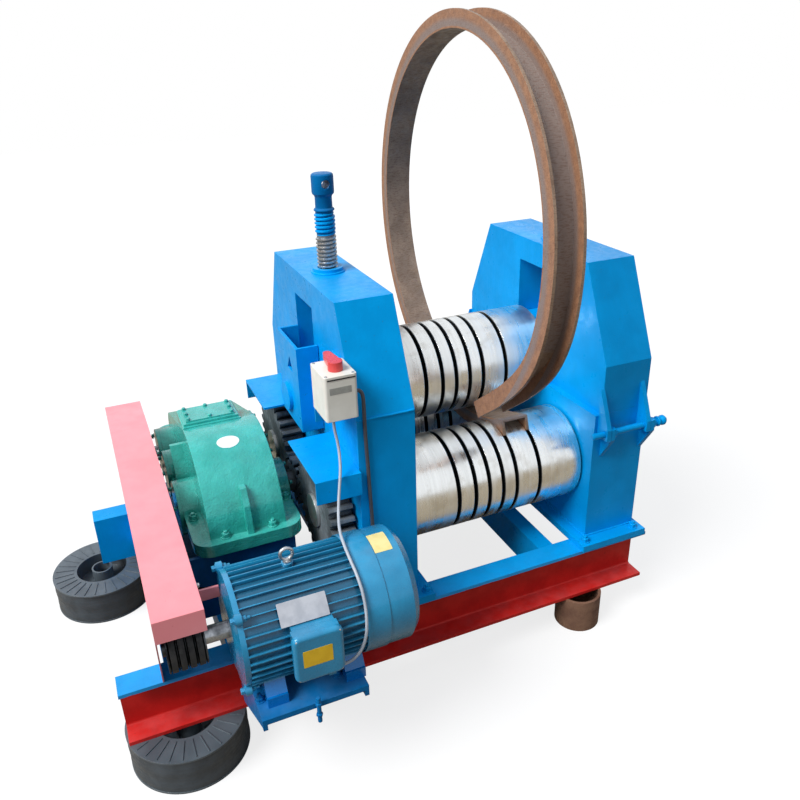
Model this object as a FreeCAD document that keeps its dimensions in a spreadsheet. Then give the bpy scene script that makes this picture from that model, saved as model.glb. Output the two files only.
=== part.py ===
"""Section bending machine: three grooved rollers between two box stands, driven through
a gear reducer and V-belts by a foot-mounted motor, on a frame of two channel beams.

All sizes are millimetres.  Modelling frame: X runs along the rollers from the left end of
the front beam, Y from the front edge of the front beam to the back, Z up from the floor.
The finished pieces are moved so that the origin is the centre of the footprint.
"""
import FreeCAD, Part
import math
import os
import Sketcher

from FreeCAD import Rotation, Vector

DOC = FreeCAD.newDocument("section_bender")
SHEET = DOC.addObject("Spreadsheet::Sheet", "Dims")
PIECES = []

DIMENSIONS = {
    # frame
    "beam_length": 1492, "beam_height": 160, "beam_flange": 65, "beam_web": 8.5,
    "beam_flange_thick": 10, "frame_width": 834, "foot_height": 103,
    "cross_height": 100, "cross_flange": 48, "cross_wall": 6,
    # stands
    "stand_centre": 404, "stand_left": 624, "stand_right": 1320, "stand_thick": 147,
    "stand_half_base": 368, "stand_half_top": 255, "stand_crease": 808, "stand_top": 1060,
    "stand_wall": 14, "base_plate": 20, "base_margin": 44, "split_level": 670, "split_step": 20,
    "window_half": 72, "window_top": 992, "window_bottom": 632,
    # rollers
    "roller_radius": 135, "roller_gap": 4, "upper_level": 733, "lower_level": 487,
    "lower_spread": 199, "journal_radius": 45, "journal_fit": 0.05, "groove_width": 12,
    "groove_depth": 45, "hub_radius": 72,
    # upper roller carriage and its screws
    "block_height": 190, "block_fit": 1, "travel": 60, "screw_radius": 26.5, "screw_pitch": 10,
    "screw_top": 1308, "screw_fit": 0.3, "screw_nut_radius": 39.5, "screw_head": 51,
    "screw_neck": 22, "tommy_radius": 10.5, "carrier_reach": 60, "carrier_top": 905,
    # gears
    "gear_module": 10, "gear_teeth": 28, "pinion_teeth": 12, "gear_face": 62, "gear_left": 554,
    "pinion_level": 467, "pinion_shaft": 27,
    # reducer
    "box_width": 194, "box_middle": 375, "low_radius": 213, "high_radius": 110, "low_to_mid": 200,
    "mid_to_high": 150, "flange_width": 278, "box_flange": 17, "box_foot": 307, "boss_reach": 140,
    "low_boss": 75, "mid_boss": 68, "high_boss": 68, "cap_thick": 9, "input_shaft": 17,
    # belt drive
    "belt_middle": 159, "belt_pitch": 19, "belt_width": 17, "belt_depth": 11, "belt_count": 4,
    "big_pulley": 80, "small_pulley": 56, "belt_fit": 0.6, "guard_left": 101, "guard_right": 204,
    "guard_sheet": 3,
    # motor
    "motor_axis_y": -105, "motor_axis_z": 452, "motor_left": 252, "motor_body": 122,
    "motor_core": 272, "motor_core_length": 286, "motor_cowl": 134, "motor_cowl_length": 82,
    "motor_shaft": 19, "motor_height": 140, "fin_height": 10, "fin_count": 40,
    # bar being bent
    "bar_width": 80, "bar_depth": 43, "bar_web": 6.5, "bar_left": 1083.5, "bar_radius": 510,
    # feet
    "reel_radius": 146, "reel_core": 80, "reel_bore": 26, "reel_flange": 5, "pipe_radius": 65,
    "pipe_wall": 8,
    # centre of the footprint in the modelling frame, found at the end
    "origin_x": 0, "origin_y": 0,
}


class Size:
    """A length that carries its value and the sheet formula that gives it."""

    def __init__(self, value, text=None):
        self.value = float(value)
        self.text = text if text is not None else repr(float(value))

    def _join(self, sign, other, value):
        return Size(value, "(%s %s %s)" % (self.text, sign, as_size(other).text))

    def __add__(self, other):
        return self._join("+", other, self.value + as_size(other).value)

    def __sub__(self, other):
        return self._join("-", other, self.value - as_size(other).value)

    def __mul__(self, other):
        return self._join("*", other, self.value * as_size(other).value)

    def __truediv__(self, other):
        return self._join("/", other, self.value / as_size(other).value)

    def __radd__(self, other):
        return as_size(other) + self

    def __rsub__(self, other):
        return as_size(other) - self

    def __rmul__(self, other):
        return as_size(other) * self

    def __neg__(self):
        return Size(-self.value, "(0 - %s)" % self.text)


def as_size(value):
    return value if isinstance(value, Size) else Size(value)


class Dims:
    """Attribute access to the sheet's cells as Size objects."""

    def __getattr__(self, name):
        return Size(DIMENSIONS[name], "Dims.%s" % name)


D = Dims()


def fill_sheet():
    for row, (name, value) in enumerate(DIMENSIONS.items(), start=1):
        SHEET.set("A%d" % row, name)
        SHEET.set("B%d" % row, str(value))
        SHEET.setAlias("B%d" % row, name)
    DOC.recompute()


def bind(target, prop, size):
    """Set a property from a Size and keep it tied to the sheet."""
    size = as_size(size)
    if "Dims." in size.text:
        target.setExpression(prop, size.text)
    elif "." in prop:
        target.setExpression(prop, size.text)
    else:
        setattr(target, prop, size.value)


def place(piece, x=0, y=0, z=0):
    """Put a finished piece at a point of the modelling frame."""
    bind(piece, "Placement.Base.x", as_size(x) - D.origin_x)
    bind(piece, "Placement.Base.y", as_size(y) - D.origin_y)
    bind(piece, "Placement.Base.z", as_size(z) + 0 * D.origin_x)
    PIECES.append(piece)
    return piece


def solid_piece(label, shape, x=0, y=0, z=0):
    """A piece whose shape is made directly with Part's functions."""
    piece = DOC.addObject("Part::Feature", label)
    piece.Label = label
    piece.Shape = shape
    return place(piece, x, y, z)


# ---------------------------------------------------------------- PartDesign helpers

NORMAL = {"XY_Plane": 1, "XZ_Plane": -1, "YZ_Plane": 1}


def new_body(label):
    body = DOC.addObject("PartDesign::Body", label)
    body.Label = label
    return body


def origin_item(body, role):
    return next(item for item in body.Origin.OriginFeatures if item.Role == role)


def new_sketch(body, role, level=0):
    """A sketch on an origin plane, moved along the plane's axis to the given level."""
    sketch = body.newObject("Sketcher::SketchObject", "sketch")
    sketch.AttachmentSupport = [(origin_item(body, role), "")]
    sketch.MapMode = "FlatFace"
    level = as_size(level)
    bind(sketch, "AttachmentOffset.Base.z", level if NORMAL[role] > 0 else -level)
    return sketch


def fix_point(sketch, geometry, vertex, x, y):
    """Tie one vertex to its two distances from the sketch's origin."""
    for kind, size in (("DistanceX", as_size(x)), ("DistanceY", as_size(y))):
        index = sketch.addConstraint(
            Sketcher.Constraint(kind, -1, 1, geometry, vertex, size.value))
        if "Dims." in size.text:
            sketch.setExpression("Constraints[%d]" % index, size.text)


def draw_outline(sketch, points):
    """A closed polygon through the given points, every vertex driven by the sheet."""
    ends = [Vector(as_size(x).value, as_size(y).value, 0) for x, y in points]
    first = sketch.GeometryCount
    count = len(ends)
    for i in range(count):
        sketch.addGeometry(Part.LineSegment(ends[i], ends[(i + 1) % count]))
    for i in range(count):
        sketch.addConstraint(Sketcher.Constraint(
            "Coincident", first + i, 2, first + (i + 1) % count, 1))
        fix_point(sketch, first + i, 1, *points[i])


def draw_circle(sketch, x, y, radius):
    index = sketch.addGeometry(Part.Circle(
        Vector(as_size(x).value, as_size(y).value, 0), Vector(0, 0, 1), as_size(radius).value))
    fix_point(sketch, index, 3, x, y)
    constraint = sketch.addConstraint(
        Sketcher.Constraint("Radius", index, as_size(radius).value))
    if "Dims." in as_size(radius).text:
        sketch.setExpression("Constraints[%d]" % constraint, as_size(radius).text)


def extrude(body, kind, role, level, length, outlines=(), circles=()):
    """Pad or pocket outlines and circles from a level towards the plane's positive axis."""
    sketch = new_sketch(body, role, level)
    for points in outlines:
        draw_outline(sketch, points)
    for circle in circles:
        draw_circle(sketch, *circle)
    feature = body.newObject("PartDesign::" + kind, kind.lower())
    feature.Profile = sketch
    bind(feature, "Length", length)
    along_normal = NORMAL[role] > 0
    feature.Reversed = (not along_normal) if kind == "Pad" else along_normal
    sketch.Visibility = False
    DOC.recompute()
    return feature


def pad(body, role, level, length, outlines=(), circles=()):
    return extrude(body, "Pad", role, level, length, outlines, circles)


def pocket(body, role, level, length, outlines=(), circles=()):
    before = body.Shape.Volume
    feature = extrude(body, "Pocket", role, level, length, outlines, circles)
    if not body.Shape.Volume < before - 1:
        raise RuntimeError("a pocket in %s cuts nothing" % body.Label)
    return feature


def revolve(body, role, outline, axis):
    sketch = new_sketch(body, role)
    draw_outline(sketch, outline)
    feature = body.newObject("PartDesign::Revolution", "revolution")
    feature.Profile = sketch
    feature.ReferenceAxis = (origin_item(body, axis), [""])
    feature.Angle = 360
    sketch.Visibility = False
    DOC.recompute()
    return feature


def round_edges(body, radius, pick):
    """Fillet the edges of the body's present shape that the pick function accepts."""
    names = ["Edge%d" % (i + 1) for i, edge in enumerate(body.Shape.Edges) if pick(edge)]
    base = body.Tip
    fillet = body.newObject("PartDesign::Fillet", "fillet")
    fillet.Base = (base, names)
    bind(fillet, "Radius", radius)
    body.Tip = fillet
    DOC.recompute()
    return fillet


def runs_along(edge, axis):
    """True for a straight edge parallel to the named axis."""
    if edge.Curve.TypeId != "Part::GeomLine":
        return False
    direction = edge.Curve.Direction
    return abs(abs(getattr(direction, axis)) - 1) < 1e-6


def rectangle(x0, y0, x1, y1):
    return [(x0, y0), (x1, y0), (x1, y1), (x0, y1)]


def slab(label, x0, x1, y0, y1, z0, z1):
    """A rectangular plate as a body of its own, not yet placed."""
    body = new_body(label)
    pad(body, "XY_Plane", z0, as_size(z1) - z0, [rectangle(x0, y0, x1, y1)])
    return body


# ---------------------------------------------------------------- frame and feet

def beam_bottom():
    return D.foot_height


def beam_top():
    return D.foot_height + D.beam_height


def make_beam(label, edge, side):
    """A channel beam along X; edge is the Y of the flange tips, side +1 opens to the front."""
    low, high = beam_bottom(), beam_top()
    web_face = edge + side * (D.beam_flange - D.beam_web)
    back = edge + side * D.beam_flange
    tip = D.beam_flange_thick
    body = new_body(label)
    pad(body, "YZ_Plane", 0, D.beam_length, [[
        (edge, low), (back, low), (back, high), (edge, high), (edge, high - tip),
        (web_face, high - tip), (web_face, low + tip), (edge, low + tip)]])
    round_edges(body, 6, lambda e: runs_along(e, "x")
                and abs(e.CenterOfMass.y - web_face.value) < 0.1)
    return place(body)


def make_cross_member(label, x0):
    """A light channel between the beams, top flange flush with theirs."""
    high = beam_top()
    low = high - D.cross_height
    x0 = as_size(x0)
    wall = D.cross_wall
    body = new_body(label)
    pad(body, "XZ_Plane", D.beam_flange, D.frame_width - 2 * D.beam_flange, [[
        (x0, low), (x0 + D.cross_flange, low), (x0 + D.cross_flange, low + wall),
        (x0 + wall, low + wall), (x0 + wall, high - wall), (x0 + D.cross_flange, high - wall),
        (x0 + D.cross_flange, high), (x0, high)]])
    return place(body)


def make_frame():
    make_beam("front_beam", Size(0), 1)
    make_beam("rear_beam", D.frame_width, -1)
    places = {"left_end": Size(112), "reducer_left": Size(262), "reducer_right": Size(446),
              "left_stand": D.stand_left + 50, "rollers": Size(1164),
              "right_stand": D.stand_right + 50}
    for name, x0 in places.items():
        make_cross_member("cross_member_" + name, x0)


def make_reel(label, x, y):
    """A moulded winding reel used as a foot: two flanges, a barrel and a bored hub."""
    height, flange, core, bore = D.foot_height, D.reel_flange, D.reel_core, D.reel_bore
    shell = Size(5)
    body = new_body(label)
    mid = height / 2
    revolve(body, "XZ_Plane", [
        (core - shell, 0), (D.reel_radius, 0), (D.reel_radius, flange), (core, flange),
        (core, height - flange), (D.reel_radius, height - flange), (D.reel_radius, height),
        (core - shell, height), (core - shell, mid + 3), (bore + shell, mid + 3),
        (bore + shell, height), (bore, height), (bore, 0), (bore + shell, 0),
        (bore + shell, mid - 3), (core - shell, mid - 3)], "Z_Axis")
    return place(body, x, y)


def make_pipe_foot(label, x, y):
    body = new_body(label)
    pad(body, "XY_Plane", 0, D.foot_height,
        circles=[(0, 0, D.pipe_radius), (0, 0, D.pipe_radius - D.pipe_wall)])
    return place(body, x, y)


# ---------------------------------------------------------------- stands

def stand_outline(low, high, inset, roof):
    """Half-hexagon front of a stand between two levels, drawn in by the inset."""
    c, crease = D.stand_centre, D.stand_crease
    base = D.stand_half_base - inset
    top = D.stand_half_top - inset * 1.3
    low = as_size(low)
    high = as_size(high)
    if roof:
        return [(c - base, low), (c + base, low), (c + base, crease), (c + top, high),
                (c - top, high), (c - base, crease)]
    return rectangle(c - base, low, c + base, high)


def lower_axles():
    return [D.stand_centre - D.lower_spread, D.stand_centre + D.lower_spread]


def make_stand(label, x0, thick, low, high, roof, bearings, window_low, window_high):
    """One welded box stand or half stand with its guide window and bearing hubs."""
    wall, c = D.stand_wall, D.stand_centre
    body = new_body(label)
    pad(body, "YZ_Plane", x0, thick, [stand_outline(low, high, Size(0), roof)])
    pocket(body, "YZ_Plane", x0 + wall, thick - 2 * wall,
           [stand_outline(low + wall, high - (2 * wall if roof else wall), wall, roof)])
    half = D.window_half
    rim = half + wall
    rim_low = window_low - wall if bearings else window_low
    rim_high = window_high + wall if roof else window_high
    pad(body, "YZ_Plane", x0, thick, [rectangle(c - rim, rim_low, c + rim, rim_high)])
    pocket(body, "YZ_Plane", x0, thick,
           [rectangle(c - half, window_low, c + half, window_high)])
    if bearings:
        pad(body, "YZ_Plane", x0, thick,
            circles=[(y, D.lower_level, D.hub_radius) for y in lower_axles()])
        pocket(body, "YZ_Plane", x0, thick,
               circles=[(y, D.lower_level, D.journal_radius + D.journal_fit)
                        for y in lower_axles()])
    return body


def add_base_plate(body, x0, x1):
    margin = D.base_margin
    pad(body, "XY_Plane", beam_top(), D.base_plate, [rectangle(
        x0, D.stand_centre - D.stand_half_base - margin,
        x1, D.stand_centre + D.stand_half_base + margin)])


def add_screw_nut(body, x):
    """The welded-in nut stands a little above the roof and is bored for the screw."""
    pad(body, "XY_Plane", D.stand_top - 1, 13, circles=[(x, D.stand_centre, D.screw_nut_radius)])
    pocket(body, "XY_Plane", D.window_top, D.stand_top + 12 - D.window_top,
           circles=[(x, D.stand_centre, D.screw_radius + D.screw_fit)])


def stand_base():
    return beam_top() + D.base_plate


def left_screw_x():
    return D.stand_left + D.stand_thick / 2


def right_screw_x():
    return D.stand_right + D.stand_thick / 2


def make_left_stand():
    body = make_stand("left_stand", D.stand_left, D.stand_thick, stand_base(), D.stand_top,
                      True, True, D.window_bottom, D.window_top)
    add_base_plate(body, D.stand_left - 30, D.stand_left + D.stand_thick + 30)
    add_screw_nut(body, left_screw_x())
    pocket(body, "YZ_Plane", D.stand_left, D.stand_wall, circles=[
        (D.stand_centre, D.pinion_level, D.pinion_shaft + D.journal_fit)])
    return place(body)


def make_right_stand():
    """The right stand is split above the lower rollers, so that a closed ring can come out."""
    step = D.split_step
    lower = make_stand("right_stand_lower", D.stand_right - step, D.stand_thick + step,
                       stand_base(), D.split_level, False, True, D.window_bottom,
                       D.split_level)
    add_base_plate(lower, D.stand_right - 53, D.stand_right + D.stand_thick + 14)
    far_face = D.stand_right + D.stand_thick
    add_ears(lower, (D.stand_right + 4, far_face - EAR_THICK),
             D.split_level - 130, D.split_level - 26)
    place(lower)
    upper = make_stand("right_stand_upper", D.stand_right, D.stand_thick, D.split_level,
                       D.stand_top, True, False, D.split_level, D.window_top)
    add_screw_nut(upper, right_screw_x())
    add_ears(upper, (D.stand_right - 10, far_face - EAR_THICK - 14),
             D.split_level + 76, D.split_level - 62)
    return place(upper)


PIN_OUT = 28
EAR_THICK = 13


def pin_level():
    return D.split_level - 44


def add_ears(body, places, far, near):
    """Triangular ears front and back that reach over the split and take the lock pins."""
    for side in (-1, 1):
        foot = D.stand_centre + side * D.stand_half_base
        reach = foot + side * (PIN_OUT + 16)
        towards_far = 16 if far.value > near.value else -16
        for x0 in places:
            pad(body, "YZ_Plane", x0, EAR_THICK, [[
                (foot, far), (reach, pin_level() + towards_far),
                (reach, pin_level() - towards_far), (foot, near)]])
            pocket(body, "YZ_Plane", x0, EAR_THICK, circles=[
                (foot + side * PIN_OUT, pin_level(), Size(9.3))])


def make_lock_pin(label, side):
    """A plain rod through the four ears of one side, with a ball on its outer end."""
    body = new_body(label)
    left, right = D.stand_right - 48, D.stand_right + D.stand_thick + 33
    rod, ball = Size(9), Size(14)
    revolve(body, "XY_Plane", [
        (left, 0), (right + 16, 0), (right + 16, 7), (right + 12, ball - 3), (right + 8, ball),
        (right + 2, ball), (right - 4, rod), (left + 3, rod), (left, rod - 3)], "X_Axis")
    return place(body, 0, D.stand_centre + side * (D.stand_half_base + PIN_OUT), pin_level())


# ---------------------------------------------------------------- rollers, carriage, screws

def groove_places():
    """Middles of the six grooves, which take the flanges of channel bars of several widths."""
    first = D.bar_left + 3.75
    return [first - 176, first - 126, first - 84, first - 42, first,
            first + D.bar_width - 7.5]


def roller_profile(left_end, right_end, barrel_right):
    """Half section of a grooved roller with its two journals, X against radius."""
    barrel_left = D.stand_left + D.stand_thick + D.roller_gap
    bottom = D.roller_radius - D.groove_depth
    half = D.groove_width / 2
    points = [(left_end, 0), (right_end, 0), (right_end, D.journal_radius),
              (barrel_right, D.journal_radius), (barrel_right, D.roller_radius - 3),
              (barrel_right - 3, D.roller_radius)]
    for middle in reversed(groove_places()):
        points += [(middle + half, D.roller_radius), (middle + half, bottom),
                   (middle - half, bottom), (middle - half, D.roller_radius)]
    points += [(barrel_left + 3, D.roller_radius), (barrel_left, D.roller_radius - 3),
               (barrel_left, D.journal_radius), (left_end, D.journal_radius)]
    return points


def make_rollers():
    end = D.stand_right + D.stand_thick
    barrel_right = D.stand_right - D.split_step - D.roller_gap
    for label, y in zip(("front_lower_roller", "rear_lower_roller"), lower_axles()):
        body = new_body(label)
        revolve(body, "XY_Plane", roller_profile(D.gear_left - 8, end + 4, barrel_right),
                "X_Axis")
        place(body, 0, y, D.lower_level)
    body = new_body("upper_roller")
    left = D.stand_left - D.carrier_reach + 8
    revolve(body, "XY_Plane", roller_profile(left, end + 1, barrel_right), "X_Axis")
    place(body, 0, D.stand_centre, D.upper_level)


def make_block(label, x0):
    """A bearing block that slides in a stand's window; the screw turns in its top socket."""
    c, half = D.stand_centre, D.window_half - D.block_fit
    low = D.upper_level - D.block_height / 2
    body = new_body(label)
    pad(body, "YZ_Plane", x0 - 2, D.stand_thick + 4,
        [rectangle(c - half, low, c + half, low + D.block_height)])
    pocket(body, "YZ_Plane", x0 - 2, D.stand_thick + 4, circles=[
        (c, D.upper_level, D.journal_radius + D.journal_fit)])
    pocket(body, "XY_Plane", low + D.block_height - 30, 30, circles=[
        (x0 + D.stand_thick / 2, c, Size(18) + D.journal_fit)])
    return place(body)


def make_carrier():
    """Open-topped guard box over the left journal end, bolted to the left block."""
    c, wall = D.stand_centre, Size(8)
    outer, inner = D.stand_left - D.carrier_reach, D.stand_left - 2
    front, back = c - 110, c + 66
    low = D.upper_level - 62
    body = new_body("journal_guard")
    pad(body, "XY_Plane", low, D.carrier_top - low,
        [[(outer, front), (inner, front), (inner, front + wall), (outer + wall, front + wall),
          (outer + wall, back - wall), (inner, back - wall), (inner, back), (outer, back)]])
    pad(body, "YZ_Plane", outer, D.carrier_reach - 2, circles=[(c, D.upper_level, Size(54))])
    pad(body, "YZ_Plane", outer - 10, 12, circles=[(c, D.upper_level, Size(40))])
    pocket(body, "YZ_Plane", outer + 6, D.carrier_reach, circles=[
        (c, D.upper_level, D.journal_radius + D.journal_fit)])
    peak = c - 40
    pocket(body, "YZ_Plane", outer, wall, [[
        (peak - 24, D.carrier_top - 81), (peak + 24, D.carrier_top - 81),
        (peak, D.carrier_top - 43)]])
    return place(body)


def make_screw(label, x):
    """Pressing screw: smooth end in the block, threaded length, neck and cross-drilled head."""
    top = D.screw_top
    socket = D.upper_level + D.block_height / 2 - 29
    head = top - D.screw_head
    shaft = D.screw_radius
    body = new_body(label)
    revolve(body, "XZ_Plane", [
        (0, socket), (18, socket), (18, socket + 31), (shaft, socket + 31), (shaft, top - 92),
        (D.screw_neck, top - 85), (D.screw_neck, head - 4), (D.screw_neck + 6, head),
        (D.screw_neck + 6, top - 3), (D.screw_neck + 3, top), (0, top)], "Z_Axis")
    pocket(body, "XZ_Plane", -40, 80, circles=[(0, top - 26, D.tommy_radius)])
    return place(body, x, D.stand_centre)


# ---------------------------------------------------------------- gears

PRESSURE = math.radians(20)


def involute(angle):
    return math.tan(angle) - angle


def tooth_flank(module, teeth, radius):
    """Half the angle of a tooth's thickness at a radius, with a little backlash."""
    pitch = module * teeth / 2
    base = pitch * math.cos(PRESSURE)
    half = math.pi / (2 * teeth) - 0.35 / pitch
    if radius <= base:
        return half + involute(PRESSURE)
    return half + involute(PRESSURE) - involute(math.acos(base / radius))


def gear_face(module, teeth, tip, root, phase):
    """Face of a spur gear in the YZ plane, one tooth centred on the phase angle."""
    pitch = module * teeth / 2
    base = pitch * math.cos(PRESSURE)
    radii = [root] + [max(base, root + 1) + (tip - max(base, root + 1)) * k / 3
                      for k in range(4)]
    points = []
    for tooth in range(teeth):
        middle = phase + 2 * math.pi * tooth / teeth
        left = [(r, middle - tooth_flank(module, teeth, r)) for r in radii]
        right = [(r, middle + tooth_flank(module, teeth, r)) for r in reversed(radii)]
        points += left + right
    corners = [Vector(0, r * math.cos(a), r * math.sin(a)) for r, a in points]
    return Part.Face(Part.makePolygon(corners + corners[:1]))


def gear_shape(module, teeth, addendum, phase, bore):
    pitch = module * teeth / 2
    face = gear_face(module, teeth, pitch + addendum, pitch - 1.3 * module, phase)
    blank = face.extrude(Vector(D.gear_face.value, 0, 0))
    if not bore:
        return blank
    hole = Part.makeCylinder(bore, D.gear_face.value, Vector(0, 0, 0), Vector(1, 0, 0))
    return blank.cut(hole)


def mesh_phase(direction, pinion_phase):
    """Phase of a gear so that its gap meets the pinion's tooth on the line of centres."""
    module, small, large = (D.gear_module.value, D.pinion_teeth.value, D.gear_teeth.value)
    offset = module * small / 2 * (pinion_phase - direction)
    return direction + math.pi - (offset + math.pi * module / 2) / (module * large / 2)


def make_gears():
    """Two large gears on the lower rollers, both driven by the pinion between them."""
    module = D.gear_module.value
    pinion_phase = math.radians(3)
    drop = D.lower_level.value - D.pinion_level.value
    for label, y, side in zip(("front_roller_gear", "rear_roller_gear"), lower_axles(), (-1, 1)):
        direction = math.atan2(drop, side * D.lower_spread.value)
        shape = gear_shape(module, int(D.gear_teeth.value), 0.75 * module,
                           mesh_phase(direction, pinion_phase),
                           D.journal_radius.value + D.journal_fit.value)
        solid_piece(label, shape, D.gear_left, y, D.lower_level)
    left, right = D.box_middle.value - 20, D.stand_left.value + 12
    teeth = gear_shape(module, int(D.pinion_teeth.value), 0.85 * module, pinion_phase, 0)
    shaft = Part.makeCylinder(D.pinion_shaft.value, right - left,
                              Vector(left - D.gear_left.value, 0, 0), Vector(1, 0, 0))
    solid_piece("pinion_shaft", teeth.fuse(shaft), D.gear_left, D.stand_centre, D.pinion_level)


# ---------------------------------------------------------------- reducer

def reducer_axes():
    low = D.stand_centre
    return [("low", low, D.low_boss), ("mid", low + D.low_to_mid, D.mid_boss),
            ("high", low + D.low_to_mid + D.mid_to_high, D.high_boss)]


def reducer_ends():
    return D.stand_centre - D.low_radius - 26, reducer_axes()[2][1] + D.high_radius + 26


def hump_outline():
    """Straight sides that join the two end radii of the upper housing."""
    (_, low, _), _, (_, high, _) = reducer_axes()
    span = D.low_to_mid + D.mid_to_high
    sine = (D.low_radius - D.high_radius) / span
    cosine = Size(math.sqrt(1 - sine.value ** 2), "sqrt(1 - %s * %s)" % (sine.text, sine.text))
    level = D.pinion_level
    return [(low, level), (high, level),
            (high + D.high_radius * sine, level + D.high_radius * cosine),
            (low + D.low_radius * sine, level + D.low_radius * cosine)]


def flange_plate(label, low):
    """Start a housing half with its flange, which has well rounded corners."""
    front, back = reducer_ends()
    body = new_body(label)
    pad(body, "XY_Plane", low, D.box_flange, [rectangle(
        D.box_middle - D.flange_width / 2, front, D.box_middle + D.flange_width / 2, back)])
    round_edges(body, 45, lambda e: runs_along(e, "z"))
    return body


def make_reducer_cover():
    """Upper housing: wheel hump, flange, half bosses, inspection pad and front rib."""
    level, middle = D.pinion_level, D.box_middle
    left, width = middle - D.box_width / 2, D.box_width
    front, back = reducer_ends()
    axes = reducer_axes()
    body = flange_plate("reducer_cover", level)
    pad(body, "YZ_Plane", left, width, circles=[(axes[0][1], level, D.low_radius)])
    pad(body, "YZ_Plane", left, width, circles=[(axes[2][1], level, D.high_radius)])
    pad(body, "YZ_Plane", left, width, [hump_outline()])
    for _, y, radius in axes:
        pad(body, "YZ_Plane", middle - D.boss_reach, 2 * D.boss_reach,
            circles=[(y, level, radius)])
    nose = axes[0][1] - D.low_radius
    pad(body, "YZ_Plane", middle - 5, 16, [[
        (nose - 18, level + 12), (nose + 30, level + 12), (nose + 60, level + 130),
        (nose + 22, level + 128), (nose - 2, level + 88)]])
    web = axes[0][1] + D.low_boss - 12
    pad(body, "YZ_Plane", left - 34, 36, [[
        (web, level + 12), (web + 12, level + 12), (web + 62, level + 130),
        (web + 50, level + 130)]])
    pocket(body, "YZ_Plane", middle - 200, 400, [rectangle(
        front - 60, level - 320, back + 60, level)])
    top = level + D.low_radius
    seat = D.stand_centre + 36
    pad(body, "XY_Plane", top - 50, 50, [rectangle(middle - 95, seat, middle + 59, seat + 115)])
    bore_reducer(body)
    place(body)
    lid = slab("inspection_lid", middle - 92, middle + 55, seat + 9, seat + 108, top, top + 6)
    pad(lid, "XY_Plane", top + 5, 5, [rectangle(middle - 84, seat + 17, middle + 47, seat + 100)])
    place(lid)


def bore_reducer(body):
    """Running bores for the output shaft on the right and the input shaft on the left."""
    _, low, _ = reducer_axes()[0]
    _, high, _ = reducer_axes()[2]
    pocket(body, "YZ_Plane", D.box_middle - 22, D.boss_reach + 24,
           circles=[(low, D.pinion_level, D.pinion_shaft + 0.4)])
    pocket(body, "YZ_Plane", D.box_middle - D.boss_reach, D.boss_reach + 22,
           circles=[(high, D.pinion_level, D.input_shaft + 0.4)])


def make_reducer_base():
    """Lower housing with its flange, half bosses and foot."""
    level, middle = D.pinion_level, D.box_middle
    left, width = middle - D.box_width / 2, D.box_width
    front, back = reducer_ends()
    body = flange_plate("reducer_base", level - D.box_flange)
    pad(body, "XY_Plane", D.box_foot, level - D.box_foot,
        [rectangle(left, front + 30, left + width, back - 30)])
    for _, y, radius in reducer_axes():
        pad(body, "YZ_Plane", middle - D.boss_reach, 2 * D.boss_reach,
            circles=[(y, level, radius)])
    pocket(body, "YZ_Plane", middle - 200, 400,
           [rectangle(front - 60, level, back + 60, level + 200)])
    bore_reducer(body)
    return place(body)


def make_reducer_caps():
    """End caps of the six bearing bosses; two of them let a shaft through."""
    shafts = {("low", "right"): D.pinion_shaft, ("high", "left"): D.input_shaft}
    for side, x0 in (("left", D.box_middle - D.boss_reach - D.cap_thick),
                     ("right", D.box_middle + D.boss_reach)):
        body = new_body("reducer_caps_" + side)
        body.AllowCompound = True
        circles = []
        for name, y, radius in reducer_axes():
            circles.append((y, D.pinion_level, radius))
            if (name, side) in shafts:
                circles.append((y, D.pinion_level, shafts[name, side] + 0.4))
        pad(body, "YZ_Plane", x0, D.cap_thick, circles=circles)
        place(body)


def make_pedestal():
    """Plate box on the cross members that carries the reducer."""
    middle, wall = D.box_middle, Size(10)
    front, back = reducer_ends()
    left, right = middle - D.box_width / 2 - 63, middle + D.box_width / 2 + 16
    low, high = beam_top(), D.box_foot
    body = new_body("reducer_pedestal")
    pad(body, "XY_Plane", low, high - low, [rectangle(
        left, front + 12, right, D.frame_width)])
    pocket(body, "XY_Plane", low, high - low - wall, [rectangle(
        left + wall, front + 12 + wall, right - wall, D.frame_width - wall)])
    skirt = D.pinion_level - D.box_flange
    pad(body, "XY_Plane", high, skirt - high, [rectangle(
        left, front + 12, right, front + 12 + wall)])
    return place(body)


# ---------------------------------------------------------------- belt drive

def pulley_profile(rim, bore):
    """Half section of a V-belt pulley: one groove for each belt."""
    middle, pitch = D.belt_middle, D.belt_pitch
    half = (D.belt_count * pitch) / 2 + 3
    points = [(middle - half, bore), (middle + half, bore), (middle + half, rim)]
    for k in reversed(range(int(D.belt_count.value))):
        c = middle + (k - (D.belt_count - 1) / 2) * pitch
        wide, narrow = D.belt_width / 2 + 0.8, D.belt_width / 2 - 3.2
        points += [(c + wide, rim), (c + narrow, rim - D.belt_depth - 3),
                   (c - narrow, rim - D.belt_depth - 3), (c - wide, rim)]
    points += [(middle - half, rim)]
    return points


def make_pulleys():
    _, y_big, _ = reducer_axes()[2]
    for label, rim, bore, y, z in (
            ("big_pulley", D.big_pulley, D.input_shaft, y_big, D.pinion_level),
            ("small_pulley", D.small_pulley, D.motor_shaft, D.motor_axis_y, D.motor_axis_z)):
        body = new_body(label)
        revolve(body, "XY_Plane", pulley_profile(rim, bore), "X_Axis")
        place(body, 0, y, z)
    body = new_body("input_shaft")
    revolve(body, "XY_Plane", [
        (D.belt_middle - 46, 0), (D.box_middle + 20, 0), (D.box_middle + 20, D.input_shaft),
        (D.belt_middle - 46, D.input_shaft)], "X_Axis")
    place(body, 0, y_big, D.pinion_level)


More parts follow.
